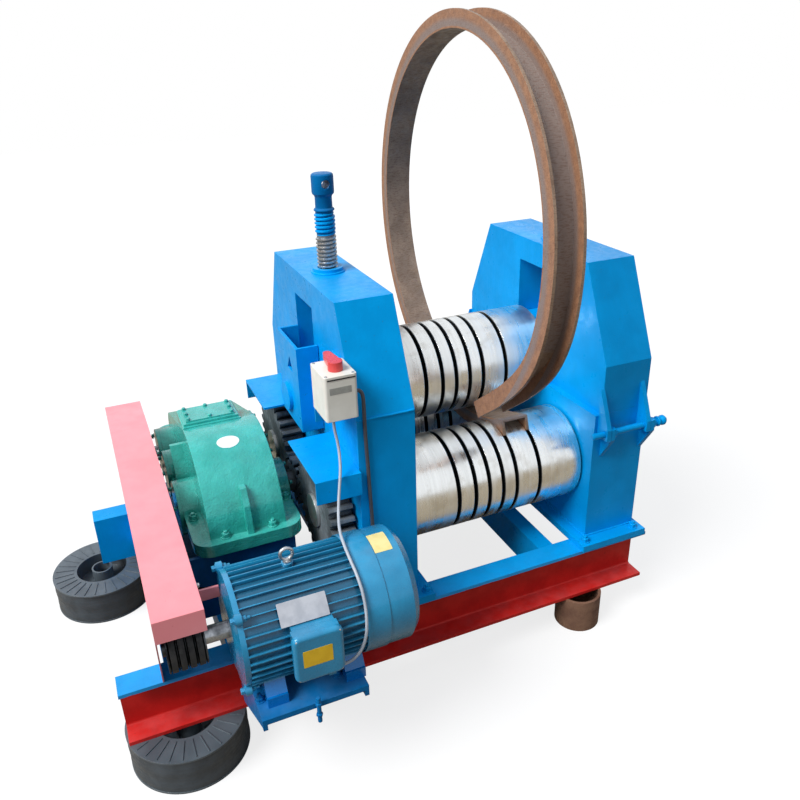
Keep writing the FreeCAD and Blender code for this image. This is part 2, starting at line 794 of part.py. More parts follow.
def loop_wire(start, radius_start, end, radius_end, x):
    """Closed wire around two pulleys: two arcs and the two outer tangents."""
    run = end - start
    turn = math.acos((radius_start - radius_end) / run.Length)
    heading = math.atan2(run.z, run.y)

    def on(centre, radius, angle):
        return centre + Vector(0, radius * math.cos(angle), radius * math.sin(angle))

    a, b = heading + turn, heading - turn
    shift = Vector(x, 0, 0)
    p = [on(start, radius_start, a) + shift, on(start, radius_start, heading + math.pi) + shift,
         on(start, radius_start, b) + shift, on(end, radius_end, b) + shift,
         on(end, radius_end, heading) + shift, on(end, radius_end, a) + shift]
    return Part.Wire([Part.Arc(p[0], p[1], p[2]).toShape(), Part.LineSegment(p[2], p[3]).toShape(),
                      Part.Arc(p[3], p[4], p[5]).toShape(), Part.LineSegment(p[5], p[0]).toShape()])


def make_belts():
    """The set of belts, each a closed loop around both pulleys."""
    start = Vector(0, D.motor_axis_y.value, D.motor_axis_z.value)
    end = Vector(0, reducer_axes()[2][1].value, D.pinion_level.value)
    small, big, fit = D.small_pulley.value, D.big_pulley.value, D.belt_fit.value
    depth, half = D.belt_depth.value, (D.belt_width.value - 4 - fit) / 2
    belts = []
    for k in range(int(D.belt_count.value)):
        c = D.belt_middle.value + (k - (D.belt_count.value - 1) / 2) * D.belt_pitch.value
        solid = Part.Face(loop_wire(start, small + 1, end, big + 1, c - half))
        hole = Part.Face(loop_wire(start, small + 1 - depth, end, big + 1 - depth, c - half))
        belts.append(solid.cut(hole).extrude(Vector(2 * half, 0, 0)))
    solid_piece("drive_belts", Part.makeCompound(belts))


def make_belt_guard():
    """Bent sheet cover: sloping top, front lip, deep left side and shallow right side."""
    left, right, sheet = D.guard_left, D.guard_right, D.guard_sheet
    big_y = reducer_axes()[2][1]
    nose, tail = D.motor_axis_y - 84, big_y + 100
    nose_z, knee_z, tail_z = D.motor_axis_z + 137, D.pinion_level + 144, D.pinion_level + 132
    knee = big_y - 104
    body = new_body("belt_guard")
    top = [(nose, nose_z - 54), (nose, nose_z), (knee, knee_z), (tail, tail_z),
           (tail, tail_z - sheet), (knee, knee_z - sheet), (nose + sheet, nose_z - sheet),
           (nose + sheet, nose_z - 54)]
    pad(body, "YZ_Plane", left, right - left, [top])
    pad(body, "YZ_Plane", left, sheet, [[
        (nose, nose_z - 54), (nose, nose_z), (knee, knee_z), (tail, tail_z),
        (tail, tail_z - 190), (D.beam_flange, beam_top()), (0, beam_top())]])
    pad(body, "YZ_Plane", right - sheet, sheet, [[
        (nose, nose_z - 54), (nose, nose_z), (knee, knee_z), (tail, tail_z),
        (tail, tail_z - 60), (knee, knee_z - 60)]])
    return place(body)


# ---------------------------------------------------------------- motor

def make_motor_base():
    """Plate base that overhangs the front beam on two gussets, with a lip along its edge."""
    top = D.motor_axis_z - D.motor_height
    front, back = D.motor_axis_y - 150, D.beam_flange
    left, right, sheet, lip, tip = Size(277), Size(518), Size(10), Size(14), Size(29)
    body = new_body("motor_base")
    pad(body, "XY_Plane", top - sheet, sheet, [rectangle(left, front, right, back)])
    pad(body, "XY_Plane", top - lip, lip - 1, [rectangle(left, front, right, front + sheet)])
    for x0 in (left, right - sheet):
        pad(body, "YZ_Plane", x0, sheet, [[
            (front, top - sheet), (front, top - tip), (front + 12, top - tip),
            (-sheet, beam_bottom() + 30), (-1, beam_bottom() + 30), (-1, beam_top()),
            (back, beam_top()), (back, top - sheet)]])
    return place(body)


def fin_ring(body, radius, height, count, x0, length):
    """Cooling fins around the core: one fin, then a polar pattern about the motor's axis."""
    sketch = new_sketch(body, "YZ_Plane", x0)
    draw_outline(sketch, [(-2, radius - 4), (2, radius - 4), (1.2, radius + height),
                          (-1.2, radius + height)])
    fin = body.newObject("PartDesign::Pad", "fin")
    fin.Profile = sketch
    bind(fin, "Length", length)
    sketch.Visibility = False
    DOC.recompute()
    ring = body.newObject("PartDesign::PolarPattern", "fins")
    ring.Originals = [fin]
    ring.Axis = (origin_item(body, "X_Axis"), [""])
    ring.Angle = 360
    bind(ring, "Occurrences", count)
    body.Tip = ring
    DOC.recompute()


FOOT_IN = 66
FOOT_OUT = 122
EAR_AT = 134


def make_motor():
    """Stator, end shields, cowl, terminal box and eye bolt around the shaft's axis."""
    left, core, length = D.motor_left, D.motor_core, D.motor_core_length
    radius, fit = D.motor_body, Size(0.4)
    y, z = D.motor_axis_y, D.motor_axis_z
    bore = D.motor_shaft + fit
    end = core + length

    stator = new_body("motor_stator")
    pad(stator, "YZ_Plane", core, length, circles=[(0, 0, radius), (0, 0, bore)])
    fin_ring(stator, radius, D.fin_height, D.fin_count, core, length)
    pad(stator, "XY_Plane", -D.motor_height, 26, [
        rectangle(x0, side * FOOT_IN, x0 + 46, side * FOOT_OUT)
        for x0 in (core + 26, end - 82) for side in (-1, 1)])
    for x0 in (core + 26, end - 82):
        pad(stator, "YZ_Plane", x0, 46, [[
            (side * (FOOT_OUT - 4), 24 - D.motor_height), (side * FOOT_IN, 24 - D.motor_height),
            (side * FOOT_IN, -92), (side * 96, -74)] for side in (-1, 1)])
    place(stator, 0, y, z)

    shield = new_body("motor_drive_shield")
    revolve(shield, "XY_Plane", [
        (left, bore), (core, bore), (core, radius + 6), (core - 12, radius + 6),
        (left + 4, radius - 22), (left, radius - 40)], "X_Axis")
    pad(shield, "YZ_Plane", core - 14, 14, circles=[
        (EAR_AT * math.cos(math.radians(a)), EAR_AT * math.sin(math.radians(a)), Size(13))
        for a in (45, 135, 225, 315)])
    place(shield, 0, y, z)

    wall, edge = Size(2.5), end + D.motor_cowl_length + 18
    shell = D.motor_cowl
    shield = new_body("motor_fan_shield")
    revolve(shield, "XY_Plane", [
        (end, bore), (end + 20, bore), (end + 20, shell - wall), (end + 8, shell - wall),
        (end + 8, radius + 6), (end, radius + 6)], "X_Axis")
    place(shield, 0, y, z)

    cowl = new_body("motor_cowl")
    revolve(cowl, "XY_Plane", [
        (end + 8, shell - wall), (edge - 16 - wall, shell - wall), (edge - wall, shell - 16 - wall),
        (edge - wall, 30), (edge, 30), (edge, shell - 16), (edge - 16, shell),
        (end + 8, shell)], "X_Axis")
    place(cowl, 0, y, z)

    seat_y, x0, low, high = y - radius - D.fin_height - 1, core + 87, z - 51, z + 59
    pad(stator, "XZ_Plane", seat_y - y, 38, [rectangle(x0 + 4, low - z + 4, x0 + 96, high - z)])
    box = new_body("terminal_box")
    pad(box, "XZ_Plane", seat_y - 22, 22, [rectangle(x0, low, x0 + 100, high)])
    pad(box, "XY_Plane", low - 20, 21, [rectangle(x0 + 70, seat_y - 21, x0 + 86, seat_y - 3)])
    pad(box, "YZ_Plane", x0 + 85, 15, circles=[(seat_y - 12, low - 11, Size(8))])
    place(box)
    lid = new_body("terminal_box_lid")
    front = seat_y - 36
    pad(lid, "XZ_Plane", front, 14, [rectangle(x0 - 5, low - 5, x0 + 105, high + 5)])
    round_edges(lid, 16, lambda e: runs_along(e, "y"))
    round_edges(lid, 9, lambda e: abs(e.CenterOfMass.y - front.value) < 0.1)
    place(lid)

    top, x0 = radius + D.fin_height + 1, core + 126
    pad(stator, "XY_Plane", radius - 8, D.fin_height + 9, circles=[(x0, 0, Size(13))])
    ring, wire = 14, 4
    bolt = Part.makeTorus(ring, wire, Vector(0, 0, ring + wire + 2), Vector(0, 1, 0))
    bolt = bolt.fuse(Part.makeCylinder(10, 4)).fuse(Part.makeCylinder(5, 5))
    solid_piece("motor_eye_bolt", bolt, x0, y, z + top)


def make_rotor():
    """Motor shaft with its cooling fan inside the cowl."""
    end = D.motor_core + D.motor_core_length
    body = new_body("motor_rotor")
    revolve(body, "XY_Plane", [
        (D.belt_middle - 48, 0), (end + 90, 0), (end + 90, D.motor_shaft),
        (D.belt_middle - 48, D.motor_shaft)], "X_Axis")
    place(body, 0, D.motor_axis_y, D.motor_axis_z)
    fan = new_body("motor_fan")
    pad(fan, "YZ_Plane", end + 40, 8, circles=[(0, 0, Size(104)), (0, 0, D.motor_shaft)])
    sketch = new_sketch(fan, "XY_Plane", 0)
    draw_outline(sketch, rectangle(end + 48, 40, end + 78, 100))
    blade = fan.newObject("PartDesign::Pad", "blade")
    blade.Profile = sketch
    blade.Length = 4
    blade.Midplane = True
    DOC.recompute()
    ring = fan.newObject("PartDesign::PolarPattern", "blades")
    ring.Originals = [blade]
    ring.Axis = (origin_item(fan, "X_Axis"), [""])
    ring.Angle = 360
    ring.Occurrences = 8
    fan.Tip = ring
    DOC.recompute()
    place(fan, 0, D.motor_axis_y, D.motor_axis_z)


# ---------------------------------------------------------------- hoods and switch

def make_gear_hoods():
    """Folded sheet hoods over the two roller gears, welded to the left stand."""
    face, sheet = D.stand_left, Size(4)
    front_axle, rear_axle = lower_axles()
    top = D.lower_level + 193
    front = new_body("front_gear_hood")
    nose, back = front_axle - 184, front_axle + 45
    pad(front, "YZ_Plane", face - 113, 113, [[
        (nose, top - 60), (nose, top), (back, top), (back, top - sheet),
        (nose + sheet, top - sheet), (nose + sheet, top - 60)]])
    place(front)
    rear = new_body("rear_gear_hood")
    nose, back = D.stand_centre + D.window_half + 5, rear_axle + 95
    pad(rear, "YZ_Plane", face - 116, 116, [[
        (nose, top - 14), (nose, top - 8), (back, top - 8), (back, top - 68),
        (back - sheet, top - 68), (back - sheet, top - 14)]])
    place(rear)


def make_switch():
    """Drum switch box with a lift-off lid, on a bent bracket, and its turning handle."""
    left, right = D.stand_left - 80, D.stand_left - 3
    front, back, low, high = Size(6), Size(106), Size(836), Size(943)
    box = new_body("switch_box")
    pad(box, "XY_Plane", low, high - low - 12, [rectangle(left, front, right, back)])
    round_edges(box, 7, lambda e: runs_along(e, "z"))
    pad(box, "XY_Plane", low - 12, 14, circles=[(left + 30, front + 46, Size(10))])
    pad(box, "YZ_Plane", right - 2, 8, circles=[(front + 34, high - 58, Size(8))])
    place(box)
    lid = new_body("switch_lid")
    pad(lid, "XY_Plane", high - 12, 12, [rectangle(left, front, right, back)])
    round_edges(lid, 7, lambda e: runs_along(e, "z"))
    place(lid)
    bracket = new_body("switch_bracket")
    pad(bracket, "XY_Plane", low - 44, 144, [[
        (left + 4, back), (D.stand_left, back), (D.stand_left, back + 66),
        (D.stand_left - 5, back + 66), (D.stand_left - 5, back + 5), (left + 4, back + 5)]])
    place(bracket)
    handle = new_body("switch_handle")
    middle_x, middle_y = left + 40, front + 38
    pad(handle, "XY_Plane", 0.5, 9, circles=[(0, 0, Size(17))])
    pad(handle, "XY_Plane", 5, 17, [[(-16, -5), (16, -5), (9, 54), (-9, 54)]])
    pad(handle, "XY_Plane", 5, 17, circles=[(0, 0, Size(17))])
    pad(handle, "XY_Plane", 5, 17, circles=[(0, 54, Size(9))])
    place(handle, middle_x, middle_y, high)


# ---------------------------------------------------------------- bar being bent

def bar_section(y, z, x, outward):
    """Closed channel section: web towards the ring's centre, flanges outwards."""
    width, depth, web, flange = D.bar_width.value, D.bar_depth.value, D.bar_web.value, 7.5
    corners = [(0, 0), (width, 0), (width, depth), (width - flange, depth),
               (width - flange, web), (flange, web), (flange, depth), (0, depth)]
    points = [Vector(x + across, y + out * outward[0], z + out * outward[1])
              for across, out in corners]
    return Part.makePolygon(points + points[:1])


def bar_shift(angle):
    """How far the ring has drifted to the left, so that its end passes beside its start."""
    return -3.85 * max(0.0, angle - 0.31) ** 2


def make_bent_bar():
    """A channel bar rolled most of the way round: tail in the rollers, end in front of them."""
    radius, x0 = D.bar_radius.value, D.bar_left.value
    centre_y = D.stand_centre.value
    centre_z = D.upper_level.value - D.roller_radius.value - 0.3 + radius
    sections = []
    start = -math.asin(D.lower_spread.value / (radius + D.bar_web.value + D.roller_radius.value))
    along = (-math.cos(start), -math.sin(start))
    outward = (math.sin(start), -math.cos(start))
    foot = (centre_y + radius * outward[0], centre_z + radius * outward[1])
    for reach in (95.0, 48.0):
        sections.append(bar_section(foot[0] + reach * along[0], foot[1] + reach * along[1],
                                    x0, outward))
    stop = math.radians(285)
    steps = 25
    for k in range(steps):
        angle = start + (stop - start) * k / (steps - 1)
        outward = (math.sin(angle), -math.cos(angle))
        sections.append(bar_section(centre_y + radius * outward[0],
                                    centre_z + radius * outward[1],
                                    x0 + bar_shift(angle), outward))
    p0 = (centre_y + radius * outward[0], centre_z + radius * outward[1])
    heading0 = (math.cos(stop), math.sin(stop))
    heading1 = (math.cos(math.radians(321)), math.sin(math.radians(321)))
    p1 = (centre_y - 286.0, centre_z - 360.0)
    reach = 300.0
    for k in range(1, 6):
        s = k / 5
        blend = [2 * s ** 3 - 3 * s ** 2 + 1, s ** 3 - 2 * s ** 2 + s,
                 -2 * s ** 3 + 3 * s ** 2, s ** 3 - s ** 2]
        slope = [6 * s ** 2 - 6 * s, 3 * s ** 2 - 4 * s + 1, -6 * s ** 2 + 6 * s, 3 * s ** 2 - 2 * s]
        keys = [p0, (reach * heading0[0], reach * heading0[1]), p1,
                (reach * heading1[0], reach * heading1[1])]
        y, z = (sum(w * key[i] for w, key in zip(blend, keys)) for i in (0, 1))
        dy, dz = (sum(w * key[i] for w, key in zip(slope, keys)) for i in (0, 1))
        size = math.hypot(dy, dz)
        angle = stop + math.radians(40) * s
        sections.append(bar_section(y, z, x0 + bar_shift(angle), (dz / size, -dy / size)))
    solid_piece("bent_bar", Part.makeLoft(sections, True, False))


# ---------------------------------------------------------------- cables

def cable_shape(points, radius, name):
    """A tube along straight runs joined by tangent arcs as large as the runs allow."""
    corners = [Vector(*p) for p in points]
    edges, last = [], corners[0]
    for before, corner, after in zip(corners, corners[1:], corners[2:]):
        back, ahead = before - corner, after - corner
        turn = math.pi - back.getAngle(ahead)
        reach = 0.45 * min(back.Length, ahead.Length)
        bend = reach / math.tan(turn / 2)
        print("%s bend radius %.0f" % (name, bend))
        first, second = corner + back.normalize() * reach, corner + ahead.normalize() * reach
        middle = (back + ahead).normalize()
        centre = corner + middle * math.hypot(reach, bend)
        arc = Part.Arc(first, centre - middle * bend, second)
        edges += [Part.LineSegment(last, first).toShape(), arc.toShape()]
        last = second
    edges.append(Part.LineSegment(last, corners[-1]).toShape())
    path = Part.Wire(edges)
    start = corners[1] - corners[0]
    ring = Part.Wire(Part.makeCircle(radius, corners[0], start))
    tube = path.makePipeShell([ring], True, False)
    print("%s length %.0f, volume over section %.0f" % (
        name, path.Length, tube.Volume / (math.pi * radius ** 2)))
    return tube


MOTOR_CABLE = [(574, 52, 824), (574, 52, 796), (579, 50, 766), (581, 46, 736), (574, 22, 702),
               (556, -8, 656), (542, -37, 620), (531, -74, 602), (526, -117, 595),
               (524, -155, 587), (526, -188, 570), (528, -216, 544), (527, -236, 512),
               (524, -247, 478), (520, -250, 446), (507, -251, 413), (486, -251, 395),
               (468, -250, 390.5), (459, -250, 390)]

SUPPLY_CABLE = [(627, 40, 885), (633, 40, 885), (640, 39, 880.5), (643, 36.5, 870),
                (642.5, 33, 848), (641.5, 30.5, 812), (642, 30.5, 758), (644.5, 30.5, 690),
                (646, 30.5, 618), (648.5, 30.5, 546), (649, 30.5, 480), (649, 30.5, 416), (646, 30.5, 362),
                (634, 30, 322), (612, 29, 298), (580, 30, 282), (556, 48, 276), (541, 78, 268),
                (528, 108, 238), (522, 132, 186), (520, 152, 132), (519, 178, 76), (518, 210, 30),
                (517.4, 248, 13), (518, 292.8, 11)]
COIL_CENTRE = (452, 322)
COIL_RADIUS = 54
COIL_HALF_WIDTH = 13.5
COIL_HEIGHT = 19
SUPPLY_RADIUS = 4.5
MOTOR_CABLE_RADIUS = 3.5


def make_cables():
    """The lead from switch to motor, and the supply lead with its spare length coiled."""
    solid_piece("motor_cable", cable_shape(MOTOR_CABLE, MOTOR_CABLE_RADIUS, "motor_cable"))
    solid_piece("supply_cable", cable_shape(SUPPLY_CABLE, SUPPLY_RADIUS, "supply_cable"))
    coil = new_body("supply_cable_coil")
    pad(coil, "XY_Plane", 0, COIL_HEIGHT, circles=[
        (*COIL_CENTRE, Size(COIL_RADIUS + COIL_HALF_WIDTH)),
        (*COIL_CENTRE, Size(COIL_RADIUS - COIL_HALF_WIDTH))])
    place(coil)


# ---------------------------------------------------------------- build

def build():
    fill_sheet()
    make_frame()
    make_reel("front_left_reel", Size(139), Size(31) + 12)
    make_reel("rear_left_reel", Size(-5), D.frame_width - 78)
    make_pipe_foot("front_right_foot", Size(1287), Size(24))
    make_pipe_foot("rear_right_foot", Size(1287), D.frame_width - 24)
    make_left_stand()
    make_right_stand()
    make_lock_pin("front_lock_pin", -1)
    make_lock_pin("rear_lock_pin", 1)
    make_rollers()
    make_block("left_block", D.stand_left)
    make_block("right_block", D.stand_right)
    make_carrier()
    make_screw("left_screw", left_screw_x())
    make_screw("right_screw", right_screw_x())
    make_gears()
    make_reducer_cover()
    make_reducer_base()
    make_reducer_caps()
    make_pedestal()
    make_pulleys()
    make_belts()
    make_belt_guard()
    make_motor_base()
    make_motor()
    make_rotor()
    make_gear_hoods()
    make_switch()
    make_bent_bar()
    make_cables()


CORDS = ("motor_cable", "supply_cable", "supply_cable_coil")


def centre_footprint():
    """Write the middle of the footprint, cords apart, into the sheet, which moves every piece."""
    DOC.recompute()
    box = FreeCAD.BoundBox()
    for piece in PIECES:
        if piece.Label not in CORDS:
            box.add(piece.Shape.optimalBoundingBox())
    rows = {name: row for row, name in enumerate(DIMENSIONS, start=1)}
    SHEET.set("B%d" % rows["origin_x"], "%.4f" % ((box.XMin + box.XMax) / 2))
    SHEET.set("B%d" % rows["origin_y"], "%.4f" % ((box.YMin + box.YMax) / 2))
    DOC.recompute()
    print("box %.1f x %.1f x %.1f, floor %.3f, origin %.4f %.4f" % (
        box.XLength, box.YLength, box.ZLength, box.ZMin, box.Center.x, box.Center.y))


def check():
    for item in DOC.Objects:
        if "Invalid" in item.State or "Error" in item.State:
            raise RuntimeError("%s failed: %s" % (item.Label, item.State))
    for piece in PIECES:
        if piece.Shape.isNull() or not piece.Shape.isValid():
            raise RuntimeError("%s has a bad shape" % piece.Label)


def write():
    os.makedirs("parts", exist_ok=True)
    for piece in PIECES:
        piece.Shape.exportStep(os.path.join("parts", piece.Label + ".step"))
    print("%d pieces" % len(PIECES))


build()
centre_footprint()
check()
write()
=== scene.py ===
"""Looks of a section bending machine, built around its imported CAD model.

Blender works in metres in the row frame: +Z up, +X along the rollers, the motor at -Y.
Sizes below are millimetres from the front beam's left end (X), its front edge (Y) and
the floor (Z), as a fitter would measure them, and Datum turns them into the row frame.
"""

import logging
import math
from dataclasses import dataclass, field
from enum import Enum
from typing import Any, Sequence

import bmesh
import bpy
import numpy as np
from mathutils import Matrix, Vector


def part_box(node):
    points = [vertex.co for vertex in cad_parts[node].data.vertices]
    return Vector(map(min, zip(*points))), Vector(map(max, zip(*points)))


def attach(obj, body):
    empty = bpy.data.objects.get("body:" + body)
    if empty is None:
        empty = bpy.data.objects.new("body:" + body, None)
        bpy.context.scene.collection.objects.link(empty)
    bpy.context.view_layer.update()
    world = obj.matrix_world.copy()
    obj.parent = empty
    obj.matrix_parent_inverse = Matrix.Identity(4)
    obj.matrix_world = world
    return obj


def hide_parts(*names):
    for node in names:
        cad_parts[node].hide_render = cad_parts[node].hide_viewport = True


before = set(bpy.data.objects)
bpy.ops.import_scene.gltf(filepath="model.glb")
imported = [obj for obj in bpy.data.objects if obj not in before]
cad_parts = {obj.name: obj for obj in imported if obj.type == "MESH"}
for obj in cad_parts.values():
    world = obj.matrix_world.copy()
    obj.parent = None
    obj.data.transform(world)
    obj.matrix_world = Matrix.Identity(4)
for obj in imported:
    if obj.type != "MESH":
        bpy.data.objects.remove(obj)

log = logging.getLogger("ring_roller")
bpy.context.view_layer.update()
MM = 0.001

Point = tuple[float, float, float]
Outline = Sequence[tuple[float, float]]
Socket = bpy.types.NodeSocket
Tree = bpy.types.NodeTree


class Slot(Enum):
    """The record's material slots."""

    BLUE_ENAMEL = "blue_enamel"
    PINK_ENAMEL = "pink_enamel"
    GREEN_ENAMEL = "green_enamel"
    MOTOR_ENAMEL = "motor_enamel"
    BLACK_PLASTIC = "black_plastic"
    RUSTY_PIPE = "rusty_pipe"
    MILL_SCALE = "mill_scale"
    ROLLER_STEEL = "roller_steel"
    MACHINED_STEEL = "machined_steel"
    GREY_IRON = "grey_iron"
    BELT_RUBBER = "belt_rubber"
    IVORY_PLASTIC = "ivory_plastic"
    RED_PLASTIC = "red_plastic"
    GREY_SHEATH = "grey_sheath"
    DARK_SHEATH = "dark_sheath"


class Axis(Enum):
    """An axis to lay a shape along, and which of its own coordinates become x, y and z then."""

    X = (2, 0, 1)
    Y = (1, 2, 0)
    Z = (0, 1, 2)


# ---------------------------------------------------------------- places and surfaces

class Datum:
    """The corner that all sizes start from: the front beam's left front edge, at the floor."""

    corner = Vector((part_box("front_beam")[0][0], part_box("front_beam")[0][1], 0.0))

    @classmethod
    def place(cls, x: float, y: float, z: float) -> Vector:
        """A point in the row frame, in metres, from millimetres."""
        return cls.corner + Vector((x, y, z)) * MM

    @classmethod
    def places(cls, points: np.ndarray) -> np.ndarray:
        """The same for an array whose last axis holds x, y and z."""
        return np.asarray(points, float) * MM + np.array(cls.corner)


def placed(name: str, data: bpy.types.ID) -> bpy.types.Object:
    """Puts a mesh, curve, lamp or camera into the scene as an object.

    Args:
        name: The object's name.
        data: What it holds.

    Returns:
        The object, at the origin.
    """
    thing = bpy.data.objects.new(name, data)
    bpy.context.scene.collection.objects.link(thing)
    return thing


def seat(name: str, data: bpy.types.ID, finish: "Finish", body: str) -> bpy.types.Object:
    """Makes a piece of the machine out of a mesh or curve.

    Args:
        name: The piece's name.
        data: Its mesh or curve, in the row frame.
        finish: What it is finished in.
        body: The CAD body that it moves with.

    Returns:
        The piece.
    """
    data.materials.append(finish.material)
    piece = placed(name, data)
    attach(piece, body)
    log.info("%s: %s on %s", name, finish.name, body)
    return piece


@dataclass
class Surface:
    """A mesh worked out with numpy, in millimetres: points, four-sided faces and triangles."""

    points: np.ndarray = field(default_factory=lambda: np.zeros((0, 3)))
    quads: np.ndarray = field(default_factory=lambda: np.zeros((0, 4), int))
    triangles: np.ndarray = field(default_factory=lambda: np.zeros((0, 3), int))

    @classmethod
    def grid(cls, points: np.ndarray, wrap_u: bool = False, wrap_v: bool = False) -> "Surface":
        """Faces between neighbours of a grid of points.

        Args:
            points: Array of shape (nu, nv, 3).
            wrap_u: Joins the last row to the first.
            wrap_v: Joins the last column to the first.

        Returns:
            The surface, with one four-sided face per grid cell.
        """
        nu, nv = points.shape[:2]
        number = np.arange(nu * nv).reshape(nu, nv)
        if wrap_u:
            number = np.concatenate([number, number[:1]])
        if wrap_v:
            number = np.concatenate([number, number[:, :1]], axis=1)
        quads = np.stack([number[:-1, :-1], number[1:, :-1], number[1:, 1:], number[:-1, 1:]], -1)
        return cls(points.reshape(-1, 3), quads.reshape(-1, 4))

    @classmethod
    def turned(cls, profile: Outline, sides: int = 32) -> "Surface":
        """A profile turned round the z axis.

        A point of the surface is (r cos a, r sin a, h) for the profile's r and h and each angle a.

        Args:
            profile: Pairs of radius and height; a radius of 0 closes it.
            sides: How many steps go round.

        Returns:
            The turned surface.
        """
        r, h = np.array(profile, float).T
        a = np.arange(sides) * 2 * math.pi / sides
        points = np.stack([r[:, None] * np.cos(a), r[:, None] * np.sin(a),
                           np.repeat(h[:, None], sides, 1)], -1)
        return cls.grid(points, wrap_v=True)

    @classmethod
    def prism(cls, outline: Outline, low: float, high: float) -> "Surface":
        """A flat outline drawn out along z, each end closed to the mean of its points.

        Args:
            outline: Pairs of x and y, anticlockwise or clockwise.
            low: Height of one end.
            high: Height of the other.

        Returns:
            The closed surface.
        """
        flat = np.array(outline, float)
        count = len(flat)
        rings = [np.column_stack([flat, np.full(count, level)]) for level in (low, high)]
        middles = [np.append(flat.mean(0), level) for level in (low, high)]
        here = np.arange(count)
        there = (here + 1) % count
        walls = np.stack([here, there, there + count, here + count], -1)
        floor = np.stack([there, here, np.full(count, 2 * count)], -1)
        roof = np.stack([here + count, there + count, np.full(count, 2 * count + 1)], -1)
        return cls(np.concatenate([*rings, middles]), walls, np.concatenate([floor, roof]))

    @classmethod
    def along(cls, path: np.ndarray, section: np.ndarray, closed: bool = False) -> "Surface":
        """A section carried along a path, square to it, with its ends closed to their middles.

        Each ring is path + section_x * side + section_y * upward, where side is across the
        path and level, and upward completes the three.

        Args:
            path: Array (n, 3).
            section: Array (m, 2), or (n, m, 2) for a section that changes on the way.
            closed: The path is a loop.

        Returns:
            The tube's surface.
        """
        if closed:
            run = np.roll(path, -1, 0) - np.roll(path, 1, 0)
        else:
            run = np.gradient(path, axis=0)
        run /= np.linalg.norm(run, axis=1, keepdims=True)
        up = np.where(np.abs(run[:, 2:]) > 0.95, [[0.0, 1.0, 0.0]], [[0.0, 0.0, 1.0]])
        side = np.cross(run, up)
        side /= np.linalg.norm(side, axis=1, keepdims=True)
        upward = np.cross(side, run)
        if section.ndim == 2:
            section = np.repeat(section[None], len(path), 0)
        rings = (path[:, None] + section[..., :1] * side[:, None]
                 + section[..., 1:] * upward[:, None])
        if not closed:
            ends = [np.repeat(path[i][None, None], section.shape[1], 1) for i in (0, -1)]
            rings = np.concatenate([ends[0], rings, ends[1]])
        return cls.grid(rings, wrap_u=closed, wrap_v=True)

    @classmethod
    def plate(cls, width: float, height: float, corner: float, thick: float,
              oval: bool = False) -> "Surface":
        """A plate with rounded corners, its middle at the origin, from z = 0 up to thick.

        At x from the middle, the half height is height / 2 - c + sqrt(c^2 - (c - g)^2), where
        c is the corner's radius and g is the gap from x to the plate's end, up to c. That of
        an oval plate is height / 2 * sqrt(1 - (2 x / width)^2).

        Args:
            width: Size along x.
            height: Size along y.
            corner: Radius of the corners.
            thick: Size along z.
            oval: The outline is an ellipse.

        Returns:
            The closed plate.
        """
        columns, rows = 29, 13
        ease = (1 - np.cos(np.linspace(0, math.pi, columns))) / 2
        x = (ease - 0.5) * width
        gap = np.minimum(width / 2 - np.abs(x), corner)
        half = height / 2 - corner + np.sqrt(np.clip(corner ** 2 - (corner - gap) ** 2, 0, None))
        if oval:
            half = height / 2 * np.sqrt(np.clip(1 - (2 * x / width) ** 2, 1e-6, None))
        y = half[:, None] * np.linspace(-1, 1, rows)
        low = np.stack([np.repeat(x[:, None], rows, 1), y, np.zeros_like(y)], -1)
        strips = np.concatenate([low + (0, 0, thick), low[:, ::-1]], 1)
        first, last = ((strip + strip[::-1]) / 2 for strip in (strips[0], strips[-1]))
        return cls.grid(np.concatenate([first[None], strips, last[None]]), wrap_v=True)

    def wrapped(self, radius: float, angle: float) -> "Surface":
        """The surface bent round a cylinder along x.

        A point (x, y, z) goes to (x, -(R + z) cos a, (R + z) sin a) with a = angle + y / R.

        Args:
            radius: R, the cylinder's radius.
            angle: How far the surface's middle is raised from -y, in degrees.

        Returns:
            The bent surface, about the cylinder's axis.
        """
        x, y, z = self.points.T
        a = math.radians(angle) + y / radius
        points = np.stack([x, -(radius + z) * np.cos(a), (radius + z) * np.sin(a)], -1)
        return Surface(points, self.quads, self.triangles)

    def facing(self, axis: Axis) -> "Surface":
        """The surface with its own z axis laid along another."""
        return Surface(self.points[:, list(axis.value)], self.quads, self.triangles)

    def moved(self, x: float, y: float, z: float) -> "Surface":
        """The surface shifted by x, y and z."""
        return Surface(self.points + (x, y, z), self.quads, self.triangles)

    def rotated(self, angle: float, axis: Axis = Axis.Z) -> "Surface":
        """The surface turned about an axis through its own origin, by degrees."""
        turn = np.array(Matrix.Rotation(math.radians(angle), 3, axis.name))
        return Surface(self.points @ turn.T, self.quads, self.triangles)

    def __add__(self, other: "Surface") -> "Surface":
        """Both surfaces in one."""
        shift = len(self.points)
        return Surface(np.concatenate([self.points, other.points]),
                       np.concatenate([self.quads, other.quads + shift]),
                       np.concatenate([self.triangles, other.triangles + shift]))

    def at_each(self, places: Sequence[Point]) -> "Surface":
        """One copy of the surface at each place.

        Args:
            places: Where the surface's own origin comes to lie.

        Returns:
            All the copies in one.
        """
        spots = np.array(places, float)
        shift = np.arange(len(spots))[:, None, None] * len(self.points)
        return Surface((self.points[None] + spots[:, None]).reshape(-1, 3),
                       (self.quads[None] + shift).reshape(-1, 4),
                       (self.triangles[None] + shift).reshape(-1, 3))

